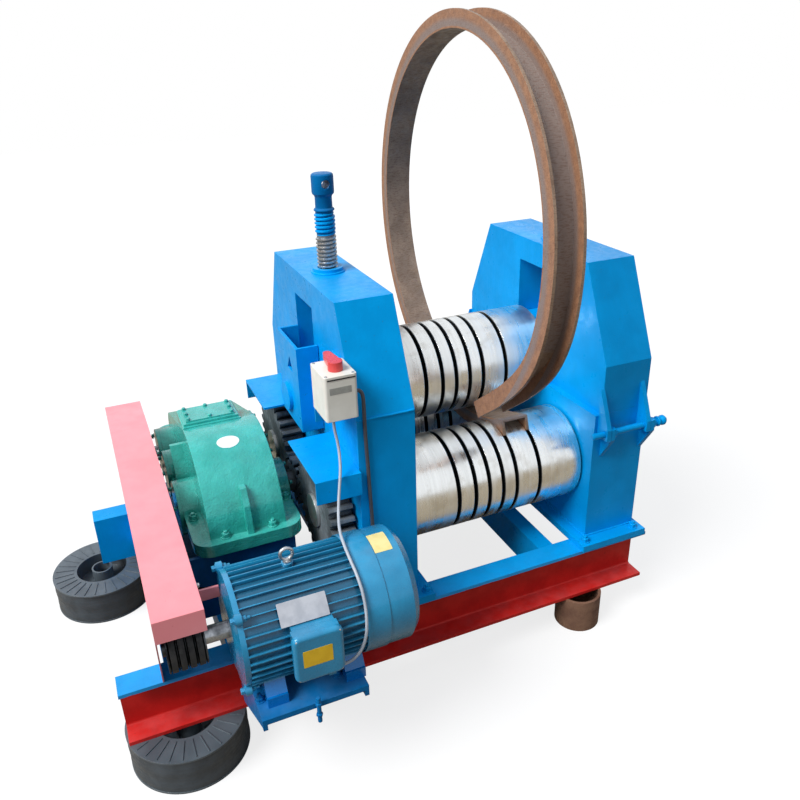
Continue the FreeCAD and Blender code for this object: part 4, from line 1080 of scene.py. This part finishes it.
def bore(piece: bpy.types.Object, drill: Surface, crease: float) -> None:
    """Cuts the drill's shape out of a finished piece.

    Args:
        piece: The piece, whose mesh is changed.
        drill: What is taken away.
        crease: Edges sharper than this many degrees stay sharp.
    """
    cutter = placed("drill", drill.mesh("drill"))
    cut = piece.modifiers.new("bore", "BOOLEAN")
    cut.object = cutter
    cut.operation = "DIFFERENCE"
    cut.solver = "EXACT"
    shaped = piece.evaluated_get(bpy.context.evaluated_depsgraph_get())
    result = bpy.data.meshes.new_from_object(shaped)
    piece.modifiers.clear()
    piece.data = result
    result.set_sharp_from_angle(angle=math.radians(crease))
    bpy.data.objects.remove(cutter)


# ---------------------------------------------------------------- sub-assemblies

@dataclass
class PressingScrew:
    """A pressing screw with its thread cut: the bare part below, the painted part above."""

    side: str
    x: float
    y: float = 404.0
    low: float = 799.0
    thread_low: float = 838.0
    painted: float = 1157.0
    thread_high: float = 1219.0
    top: float = 1308.0
    hole: float = 1282.0
    hole_radius: float = 10.5
    journal: float = 17.9
    core: float = 22.6
    crest: float = 26.2
    pitch: float = 10.0
    steps_per_turn: int = 36
    runout: int = 30
    crease: float = 30.0

    def thread(self, low: float, high: float, runs_out: bool) -> Surface:
        """Trapezoid ridge wound between two heights.

        The ridge's foot is at (r cos a, r sin a, pitch a / 2 pi) for r just inside the core.

        Args:
            low: Height where it starts, growing from nothing.
            high: Height where it ends.
            runs_out: It fades out at its top too.

        Returns:
            The ridge's surface.
        """
        a = np.arange(low / self.pitch, high / self.pitch, 1 / self.steps_per_turn) * 2 * math.pi
        inside = self.core - 1
        path = np.stack([inside * np.cos(a), inside * np.sin(a), self.pitch * a / 2 / math.pi], -1)
        ridge = self.crest - inside
        section = np.array([(0, -4.2), (ridge, -1.9), (ridge, 1.9), (0, 4.2)])
        steps = np.arange(len(a))
        left = (len(a) - 1 - steps) / self.runout if runs_out else np.ones(len(a))
        fade = np.clip(np.minimum(steps / self.runout, left) + 0.05, 0, 1)
        return Surface.along(path, section * fade[:, None, None])

    def part(self, name: str, shape: Surface, finish: Finish,
             crease: float = 35.0) -> bpy.types.Object:
        """One part of the screw, which stands in for the CAD node with the others.

        Args:
            name: What the part is called after the screw's own name.
            shape: The part's surface, about the screw's axis.
            finish: What it is finished in.
            crease: Edges sharper than this many degrees stay sharp.

        Returns:
            The piece.
        """
        screw = self.side + "_screw"
        piece = shape.moved(self.x, self.y, 0).finish(f"{screw}_{name}", finish, screw, crease)
        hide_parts(screw)
        return piece

    def build(self) -> None:
        """Core and thread of the bare part, head and thread of the painted one."""
        core, neck, top, shoulder = self.core, self.thread_high, self.top, self.thread_low
        self.part("core", Surface.turned([
            (0, self.low), (self.journal, self.low), (self.journal, shoulder - 8),
            (core + 3, shoulder - 8), (core + 3, shoulder - 3), (core, shoulder),
            (core, self.painted), (0, self.painted)], 48), Finishes.gear)
        self.part("thread", self.thread(shoulder, self.painted - 5, False), Finishes.zinc)
        head = self.part("head", Surface.turned([
            (0, self.painted), (core, self.painted), (core, neck - 4), (26, neck - 3),
            (26, neck), (21.6, neck + 4), (21.4, neck + 30), (23, neck + 34), (27, neck + 38),
            (28, neck + 42), (28, top - 9), (27.2, top - 5), (24, top - 2), (14, top - 0.4),
            (0, top)], 48), Finishes.base_blue, self.crease)
        reach = 40
        drill = Surface.turned([(0, -reach), (self.hole_radius, -reach),
                                (self.hole_radius, reach), (0, reach)]).facing(Axis.Y)
        bore(head, drill.moved(self.x, self.y, self.hole), self.crease)
        self.part("painted_turns", self.thread(self.painted - 4, neck - 6, True), Finishes.blue)
        dress(Finishes.steel, self.side + "_screw")


@dataclass
class Stands:
    """Both box stands with what they carry: foot bolts, welds, bearing blocks and hoods."""

    bolt_columns: tuple[float, ...] = (609, 786, 1285, 1452)
    bolt_rows: tuple[float, ...] = (14, 794)
    bolt_level: float = 283.0
    walls: tuple[tuple[float, float], ...] = ((624, 771), (1300, 1467))
    front: float = 36.0
    rear: float = 772.0
    foot_level: float = 284.0
    brow_level: float = 808.0
    nuts: tuple[float, float] = (697.5, 1393.5)
    nut_y: float = 404.0
    nut_radius: float = 41.0
    nut_level: float = 1061.5
    nut_bead: float = 3.2
    nut_ripples: int = 24

    def welds(self) -> None:
        """Beads along the feet of both stands, and along the left one's brow."""
        lines = []
        foot, brow = self.foot_level, self.brow_level
        for left, right in self.walls:
            lines += [((left, y, foot), (right, y, foot)) for y in (self.front - 1, self.rear + 1)]
            lines += [((x, self.front, foot), (x, self.rear, foot)) for x in (left - 1, right + 1)]
        left, right = self.walls[0]
        lines.append(((left, self.front - 0.5, brow), (right, self.front - 0.5, brow)))
        beads = sum((weld(*line) for line in lines), Surface())
        beads.finish("stand_welds", Finishes.blue, crease=ROUND_WELD_CREASE)

    def nut_welds(self) -> None:
        """A ring of bead round each screw's nut.

        Its radius is 3.2 (1 + 0.14 sin 24 a) at the angle a.
        """
        steps = 64
        a = np.arange(steps) * math.pi / (steps / 2)
        path = np.stack([self.nut_radius * np.cos(a), self.nut_radius * np.sin(a),
                         np.full(steps, self.nut_level)], -1)
        size = self.nut_bead * (1 + 0.14 * np.sin(a * self.nut_ripples))[:, None, None]
        ring = Surface.along(path, size * BEAD, closed=True)
        ring.at_each([(x, self.nut_y, 0) for x in self.nuts]).finish(
            "nut_welds", Finishes.blue, crease=ROUND_WELD_CREASE)

    def build(self) -> None:
        """Bolts and welds, and the finish of the stands' CAD nodes."""
        feet = [(x, y, self.bolt_level) for x in self.bolt_columns for y in self.bolt_rows]
        hexagon(19, 11, 2.5, stud=6).at_each(feet).finish("stand_bolts", Finishes.blue)
        self.welds()
        self.nut_welds()
        dress(Finishes.blue, "left_stand right_stand_lower right_stand_upper left_block "
                             "right_block journal_guard front_gear_hood rear_gear_hood")


@dataclass
class LockPins:
    """The pins through the right stand's ears, with collars on the ears and rings on the pins."""

    pins: tuple[tuple[str, float], ...] = (("front", 8), ("rear", 800))
    level: float = 626.0
    ears: tuple[float, float] = (1337.2, 1467.2)
    ring_x: float = 1488.0

    def build(self) -> None:
        """Collars stay with the frame, and each ring slides with its pin."""
        collar = Surface.turned([(9.8, 0), (14, 0), (15, 1), (15, 6), (14, 7), (9.8, 7),
                                 (9.8, 0)]).facing(Axis.X)
        ring = Surface.turned([(8.6, -4), (12.5, -4), (14.5, -1.5), (14.5, 1.5), (12.5, 4),
                               (8.6, 4), (8.6, -4)]).facing(Axis.X)
        for name, y in self.pins:
            pin = name + "_lock_pin"
            collar.at_each([(x, y, self.level) for x in self.ears]).finish(
                name + "_pin_collars", Finishes.blue)
            ring.moved(self.ring_x, y, self.level).finish(name + "_pin_ring", Finishes.blue, pin)
            dress(Finishes.blue, pin)


@dataclass
class Reducer:
    """The gear reducer: flange, lid and cap bolts, and its blank oval label."""

    flange: tuple[tuple[float, float], ...] = (
        (256, 306), (316, 190), (437, 190), (502, 300), (254, 508), (496, 508), (254, 678),
        (496, 678), (316, 880), (437, 880))
    flange_top: float = 484.0
    flange_bottom: float = 450.0
    lid_columns: tuple[float, ...] = (298, 356, 415)
    lid_rows: tuple[float, ...] = (464, 498, 533)
    lid_level: float = 690.0
    axis_z: float = 467.0
    caps: tuple[tuple[float, float], ...] = ((404, 62), (604, 55), (754, 55))
    cap_faces: tuple[tuple[str, float, float], ...] = (("left", 222, -90), ("right", 528, 90))
    hump_radius: float = 213.2
    label_x: float = 375.0
    label_angle: float = 71.4

    def bolts(self) -> None:
        """Bolts with nuts through the flange, and screws round the lid and in the end caps."""
        green = Finishes.green
        bolts = hexagon(19, 11, 2.5, stud=5).at_each([(x, y, self.flange_top)
                                                      for x, y in self.flange])
        bolts += hexagon(19, 11, 2.5).rotated(180, Axis.X).at_each([(x, y, self.flange_bottom)
                                                                    for x, y in self.flange])
        bolts.finish("flange_bolts", green)
        middle = self.lid_columns[1], self.lid_rows[1]
        lid = [(x, y, self.lid_level) for x in self.lid_columns for y in self.lid_rows
               if (x, y) != middle]
        hexagon(9, 5, 1.2).at_each(lid).finish("lid_bolts", green)
        for side, x, turn in self.cap_faces:
            spots = [spot for y, reach in self.caps for spot in circle(x, y, self.axis_z, reach, 6)]
            hexagon(10, 6, 1.2).rotated(turn, Axis.Y).at_each(spots).finish(
                side + "_cap_bolts", green)

    def build(self) -> None:
        """Bolts and label, and the finish of the reducer's CAD nodes."""
        self.bolts()
        label = Surface.plate(58, 42, 20.9, 0.5, oval=True).wrapped(self.hump_radius,
                                                                    self.label_angle)
        label.moved(self.label_x, self.caps[0][0], self.axis_z).finish(
            "reducer_label", Finishes.white)
        dress(Finishes.green, "reducer_cover reducer_base reducer_caps_left "
                              "reducer_caps_right inspection_lid")
        # The pedestal's nearly navy blue is painted shade under the reducer.
        dress(Finishes.dark_blue, "reducer_pedestal")


@dataclass
class Motor:
    """The motor on its base: fasteners, labels, and the band and grille of its cowl."""

    y: float = -105.0
    z: float = 452.0
    ear_radius: float = 134.0
    ear_faces: tuple[float, float] = (258, 272)
    cowl_end: float = 658.0
    cowl_radius: float = 134.2
    grille_rings: tuple[float, ...] = (38, 58, 78, 98)
    spokes: int = 12
    cowl_label_x: float = 606.0
    cowl_label_angle: float = 82.0
    plate_x: float = 398.0
    plate_angle: float = 38.0
    plate_curve: float = 600.0
    plate_reach: float = 133.2
    terminal_label: Point = (405, -274, 459)
    terminal_lid: float = -270.2
    terminal_columns: tuple[float, float] = (364, 454)
    terminal_rows: tuple[float, float] = (406, 506)
    foot_bolts: tuple[tuple[float, float], ...] = ((287, -195), (464, -195), (287, -12), (464, -12))
    base_level: float = 312.0
    jack_screw: tuple[float, float] = (399, -262)

    def shield_bolts(self) -> None:
        """Bolt heads on the near side of the drive shield's ears, nuts on the far side."""
        near, far = (circle(x, self.y, self.z, self.ear_radius, 4) for x in self.ear_faces)
        bolts = hexagon(13, 8, 1.6).rotated(-90, Axis.Y).at_each(near)
        bolts += hexagon(13, 8, 1.6, stud=8).rotated(90, Axis.Y).at_each(far)
        bolts.finish("shield_bolts", Finishes.motor)

    def cowl(self) -> None:
        """The band round the cowl, and the pressed rings and spokes over the fan."""
        band = Surface.turned([(134.15, 529), (134.15, 584), (135.4, 584), (136.2, 583),
                               (136.2, 530.5), (135.4, 529), (134.15, 529)], 128)
        band.facing(Axis.X).moved(0, self.y, self.z).finish("cowl_band", Finishes.motor)
        grille = Surface()
        for radius in self.grille_rings:
            grille += Surface.turned([(radius - 3, 0), (radius - 2.2, 2.2), (radius + 2.2, 2.2),
                                      (radius + 3, 0), (radius - 3, 0)], 72)
        spoke = Surface.plate(76, 5, 2, 2.6).moved(71, 0, 0)
        for k in range(self.spokes):
            grille += spoke.rotated(360 / self.spokes * k)
        grille += Surface.turned([(0, -2), (31.5, -2), (31.5, 2.4), (28, 4), (0, 4.6)], 48)
        grille.facing(Axis.X).moved(self.cowl_end, self.y, self.z).finish(
            "cowl_grille", Finishes.motor)

    def labels(self) -> None:
        """Three blank labels: the nameplate on the fins, one on the cowl, one on the box's lid."""
        turn = math.radians(self.plate_angle)
        sunk = self.plate_curve - self.plate_reach
        plate = Surface.plate(106, 50, 2, 1.2).wrapped(self.plate_curve, self.plate_angle)
        plate.moved(self.plate_x, self.y + sunk * math.cos(turn),
                    self.z - sunk * math.sin(turn)).finish("motor_nameplate", Finishes.silver)
        cowl = Surface.plate(42, 60, 2, 0.4).wrapped(self.cowl_radius, self.cowl_label_angle)
        cowl.moved(self.cowl_label_x, self.y, self.z).finish("cowl_label", Finishes.cream)
        lid = Surface.plate(64, 43, 1.5, 0.4).rotated(90, Axis.X)
        lid.moved(*self.terminal_label).finish("terminal_label", Finishes.yellow)

    def base_bolts(self) -> None:
        """Studs and nuts in the motor's feet, and the jack screw at the front of the base."""
        studs = hexagon(16, 8, 2, stud=9).at_each([(x, y, self.base_level)
                                                   for x, y in self.foot_bolts])
        studs += Surface.turned([(0, 264), (4.2, 264), (5, 265), (5, 333), (4.2, 334), (0, 334)],
                                20).moved(*self.jack_screw, 0)
        studs += hexagon(13, 7, 0).at_each([(*self.jack_screw, z)
                                            for z in (self.base_level, self.base_level - 30)])
        studs.finish("motor_base_bolts", Finishes.base_blue)

    def build(self) -> None:
        """Every small part of the motor, and the finish of its CAD nodes."""
        self.shield_bolts()
        self.cowl()
        self.labels()
        screw = Surface.turned([(0, 0), (4.6, 0), (4.6, 1.6), (3.4, 3), (0, 3.4)], 20)
        corners = [(x, self.terminal_lid, z) for x in self.terminal_columns
                   for z in self.terminal_rows]
        screw.rotated(90, Axis.X).at_each(corners).finish("terminal_screws", Finishes.zinc)
        self.base_bolts()
        dress(Finishes.finned, "motor_stator")
        dress(Finishes.motor, "motor_drive_shield motor_fan_shield motor_cowl terminal_box "
                              "terminal_box_lid")
        # The base's deep blue is painted shade under the motor.
        dress(Finishes.base_blue, "motor_base")
        dress(Finishes.steel, "motor_rotor")
        dress(Finishes.reel, "motor_fan")
        dress(Finishes.zinc, "motor_eye_bolt")


@dataclass
class BeltDrive:
    """Belts and pulleys under their guard, which a strap holds to the motor."""

    strap_low: float = 512.0
    strap_high: float = 540.0
    tab_high: float = 562.0
    wall: float = 207.0
    screws: tuple[tuple[float, float], ...] = ((-60, 552), (500, 596))

    def build(self) -> None:
        """The strap, the screws along the guard's edge, and the finish of the CAD nodes."""
        wall, inside = self.wall, self.wall - 3
        strap = Surface.prism([(inside, -66), (252, -66), (252, -60), (209, -60), (wall, -46),
                               (inside, -46)], self.strap_low, self.strap_high)
        strap += Surface.prism([(inside, -74), (wall, -74), (wall, -46), (inside, -46)],
                               self.strap_low, self.tab_high)
        strap.finish("guard_strap", Finishes.salmon)
        heads = hexagon(10, 5, 1.2).rotated(90, Axis.Y)
        heads.at_each([(wall, y, z) for y, z in self.screws]).finish("guard_screws", Finishes.zinc)
        dress(Finishes.salmon, "belt_guard")
        dress(Finishes.iron, "big_pulley small_pulley")
        dress(Finishes.rubber, "drive_belts")
        dress(Finishes.steel, "input_shaft")


@dataclass
class Switch:
    """The reversing switch on its bracket: gasket, blank label and lid screws."""

    gasket: Point = (584, 6, 936)
    label: Point = (581, 6, 909)
    lid: float = 943.0
    screw_columns: tuple[float, float] = (551, 614)
    screw_rows: tuple[float, float] = (13, 99)

    def build(self) -> None:
        """Every small part of the switch, and the finish of its CAD nodes."""
        Surface.plate(66, 3.2, 1.4, 0.5).rotated(90, Axis.X).moved(*self.gasket).finish(
            "switch_gasket", Finishes.black)
        Surface.plate(51, 16, 1, 0.4).rotated(90, Axis.X).moved(*self.label).finish(
            "switch_label", Finishes.grey_label)
        screw = Surface.turned([(0, 0), (3.4, 0), (3.4, 1), (2.4, 1.8), (0, 2)], 16)
        screw.at_each([(x, y, self.lid) for x in self.screw_columns for y in self.screw_rows]
                      ).finish("switch_screws", Finishes.zinc)
        dress(Finishes.ivory, "switch_box switch_lid")
        dress(Finishes.red, "switch_handle")
        dress(Finishes.blue, "switch_bracket")


@dataclass
class Reel:
    """A moulded winding reel used as a foot: ribs on its flange, and film wound inside it.

    beam is the strip from front to back that the beam on it covers, right of beam_end.
    """

    name: str
    x: float
    y: float
    beam: tuple[float, float]
    beam_end: float = -4.0
    ribs: int = 28
    rib_inner: float = 84.0
    rib_outer: float = 140.0
    shortest_rib: int = 12
    flange_top: float = 103.0
    hub: float = 80.5
    wound: float = 144.6
    film_low: float = 5.3
    film_high: float = 97.7

    def rib(self, angle: float) -> Surface:
        """The part of one rib that the beam doesn't cover.

        Args:
            angle: Where it points, in radians.

        Returns:
            Its surface, or an empty one where too little of it is clear.
        """
        reach = np.linspace(self.rib_inner, self.rib_outer,
                            int(self.rib_outer - self.rib_inner) + 1)
        across = self.y + reach * math.sin(angle)
        ahead = self.x + reach * math.cos(angle)
        clear = (across < self.beam[0]) | (across > self.beam[1]) | (ahead < self.beam_end)
        if clear.sum() < self.shortest_rib:
            return Surface()
        span = reach[clear]
        rib = Surface.plate(span[-1] - span[0], 3, 1.4, 2)
        return rib.moved((span[0] + span[-1]) / 2, 0, self.flange_top).rotated(
            math.degrees(angle)).moved(self.x, self.y, 0)

    def build(self) -> None:
        """Ribs and film, and the finish of the reel's CAD node.

        The film's radius wavers with height by the sum of two sines, as its layers lie unevenly.
        """
        angles = np.arange(self.ribs) * 2 * math.pi / self.ribs
        sum((self.rib(angle) for angle in angles), Surface()).finish(
            self.name + "_reel_ribs", Finishes.reel)
        low, high = self.film_low, self.film_high
        k = np.arange(25)
        radii = self.wound + 0.35 * np.sin(k * 2.1) + 0.6 * np.sin(k * 0.5)
        wall = zip(radii, np.linspace(low, high, len(k)))
        wound = Surface.turned([(self.hub, low), *wall, (self.hub, high), (self.hub, low)], 96)
        wound.moved(self.x, self.y, 0).finish(self.name + "_reel_film", Finishes.film, crease=70)
        dress(Finishes.reel, self.name + "_left_reel")


@dataclass
class Base:
    """The frame of two beams and their cross tubes, on two reels and two pipe stubs."""

    reels: tuple[Reel, ...] = (Reel("front", 139, 43, beam=(-4, 69)),
                               Reel("rear", -5, 756, beam=(766, 838)))

    def build(self) -> None:
        """Both reels, and the finish of the beams, tubes and pipe stubs."""
        for reel in self.reels:
            reel.build()
        dress(Finishes.two_tone, "front_beam")
        dress(Finishes.blue, "rear_beam cross_member_left_end cross_member_reducer_left "
                             "cross_member_reducer_right cross_member_left_stand "
                             "cross_member_rollers cross_member_right_stand")
        dress(Finishes.pipe, "front_right_foot rear_right_foot")


@dataclass
class Rollers:
    """The three rollers with their gears, and the bar that they bend."""

    middle: float = 404.0
    spread: float = 199.0
    upper_level: float = 733.0
    lower_level: float = 487.0

    def build(self) -> None:
        """The finish of the CAD nodes: each roller's follows its own axis."""
        for name, node, y, z in (
                ("upper", "upper_roller", self.middle, self.upper_level),
                ("front", "front_lower_roller", self.middle - self.spread, self.lower_level),
                ("rear", "rear_lower_roller", self.middle + self.spread, self.lower_level)):
            # Turned and rubbed bright: a streaked mirror, with black rings of painted shade in the
            # grooves.
            dress(TurnedRoller(name + "_roller_turned_steel", Slot.ROLLER_STEEL, axis_y=y,
                               axis_z=z), node)
        dress(Finishes.gear, "front_roller_gear rear_roller_gear pinion_shaft")
        dress(Finishes.scale, "bent_bar")


# ---------------------------------------------------------------- studio

@dataclass
class Studio:
    """Camera, floor and light. The camera's place is in millimetres from the datum."""

    place: Point = (100.3111, -1469.3262, 1622.4243)
    yaw: float = -22.820388924172207
    pitch: float = -25.594340373554935
    roll: float = -1.6080414713244093
    focal_pixels: float = 778.2125920833017
    picture_width: int = 800
    sensor: float = 36.0
    floor_half: float = 12.0
    floor_glow: float = 0.78
    paper: str = "ffffff"
    yard: str = "665e54"
    mirrored_yard: str = "9a907f"
    sky: str = "eef3fa"
    ground: str = "8f877b"
    horizon: tuple[float, float] = (-0.03, 0.05)
    sky_strength: float = 0.62
    front_sky: float = 0.7
    back_sky: float = 1.25
    mirrored_sky: float = 1.1
    sun_strength: float = 3.55
    sun_width: float = 30.0
    sun_towards: Point = (-0.7, -0.17, 0.78)

    def camera(self) -> None:
        """Sets up the camera from its heading, tilt and roll."""
        yaw, pitch, roll = (math.radians(a) for a in (self.yaw, self.pitch, self.roll))
        ahead = Vector((-math.sin(yaw) * math.cos(pitch), math.cos(yaw) * math.cos(pitch),
                        math.sin(pitch)))
        right = Vector((math.cos(yaw), math.sin(yaw), 0))
        up = right.cross(ahead)
        across = math.cos(roll) * right + math.sin(roll) * up
        upright = math.cos(roll) * up - math.sin(roll) * right
        data = bpy.data.cameras.new("camera")
        data.sensor_width = self.sensor
        data.lens = self.focal_pixels / self.picture_width * self.sensor
        data.clip_end = 50
        camera = placed("camera", data)
        turn = Matrix((across, upright, -ahead)).transposed()
        camera.matrix_world = Matrix.Translation(Datum.place(*self.place)) @ turn.to_4x4()
        bpy.context.scene.camera = camera

    def floor(self) -> None:
        """A wide floor: white with a soft shadow to the camera, a brown yard to the machine."""
        half = self.floor_half
        mesh = bpy.data.meshes.new("floor")
        corners = [(-half, -half, 0), (half, -half, 0), (half, half, 0), (-half, half, 0)]
        mesh.from_pydata(corners, [], [(0, 1, 2, 3)])
        material = bpy.data.materials.new("floor_white_paper")
        tree = cleared(material)
        matt = add(tree, "BsdfDiffuse", {"Color": linear(self.paper)})
        glow = add(tree, "Emission", {"Color": linear(self.paper), "Strength": 1.0})
        paper = add(tree, "MixShader", (self.floor_glow, matt, glow))
        shade = add(tree, "Mix", {0: add(tree, "LightPath", out="Is Glossy Ray"),
                                  6: linear(self.yard), 7: linear(self.mirrored_yard)}, **COLOURS)
        yard = add(tree, "BsdfDiffuse", {"Color": shade})
        both = add(tree, "MixShader", (add(tree, "LightPath", out="Is Camera Ray"), yard, paper))
        add(tree, "OutputMaterial", {"Surface": both})
        mesh.materials.append(material)
        placed("floor", mesh)

    def light(self) -> None:
        """A soft sky, brighter behind the machine, that the camera sees as white, and one sun.

        The sun is wide and soft and stands at the upper left.
        """
        bpy.context.scene.world = bpy.data.worlds.new("sky")
        tree = cleared(bpy.context.scene.world)
        towards = add(tree, "TexCoord", out="Generated")
        back, up = (add(tree, "SeparateXYZ", (towards,), out=axis) for axis in ("Y", "Z"))
        shed = add(tree, "MapRange", (back, -1, 1, self.sky_strength * self.front_sky,
                                      self.sky_strength * self.back_sky), **SMOOTH)
        strength = add(tree, "Mix", {0: add(tree, "LightPath", out="Is Glossy Ray"), 2: shed,
                                     3: self.mirrored_sky})
        above = add(tree, "MapRange", (up, *self.horizon), **SMOOTH)
        colour = add(tree, "Mix", {0: above, 6: linear(self.ground), 7: linear(self.sky)},
                     **COLOURS)
        sky = add(tree, "Background", {"Color": colour, "Strength": strength})
        plain = add(tree, "Background", {"Color": linear(self.paper), "Strength": 1.0})
        both = add(tree, "MixShader", (add(tree, "LightPath", out="Is Camera Ray"), sky, plain))
        add(tree, "OutputWorld", {"Surface": both})
        sun = bpy.data.lights.new("sun", "SUN")
        sun.energy = self.sun_strength
        sun.angle = math.radians(self.sun_width)
        lamp = placed("sun", sun)
        lamp.rotation_euler = Vector(self.sun_towards).to_track_quat("Z", "Y").to_euler()
        bpy.context.scene.view_settings.view_transform = "Standard"


def main() -> None:
    """Builds the machine's looks in order."""
    logging.basicConfig(level=logging.INFO, format="%(name)s: %(message)s")
    studio = Studio()
    studio.camera()
    screws = [PressingScrew(side, x) for side, x in zip(("left", "right"), Stands.nuts)]
    for assembly in (Leads(), Stands(), LockPins(), Reducer(), Motor(), BeltDrive(), Switch(),
                     Base(), *screws, Rollers()):
        assembly.build()
        log.info("%s is done", type(assembly).__name__)
    studio.floor()
    studio.light()


if __name__ == "__main__":
    main()
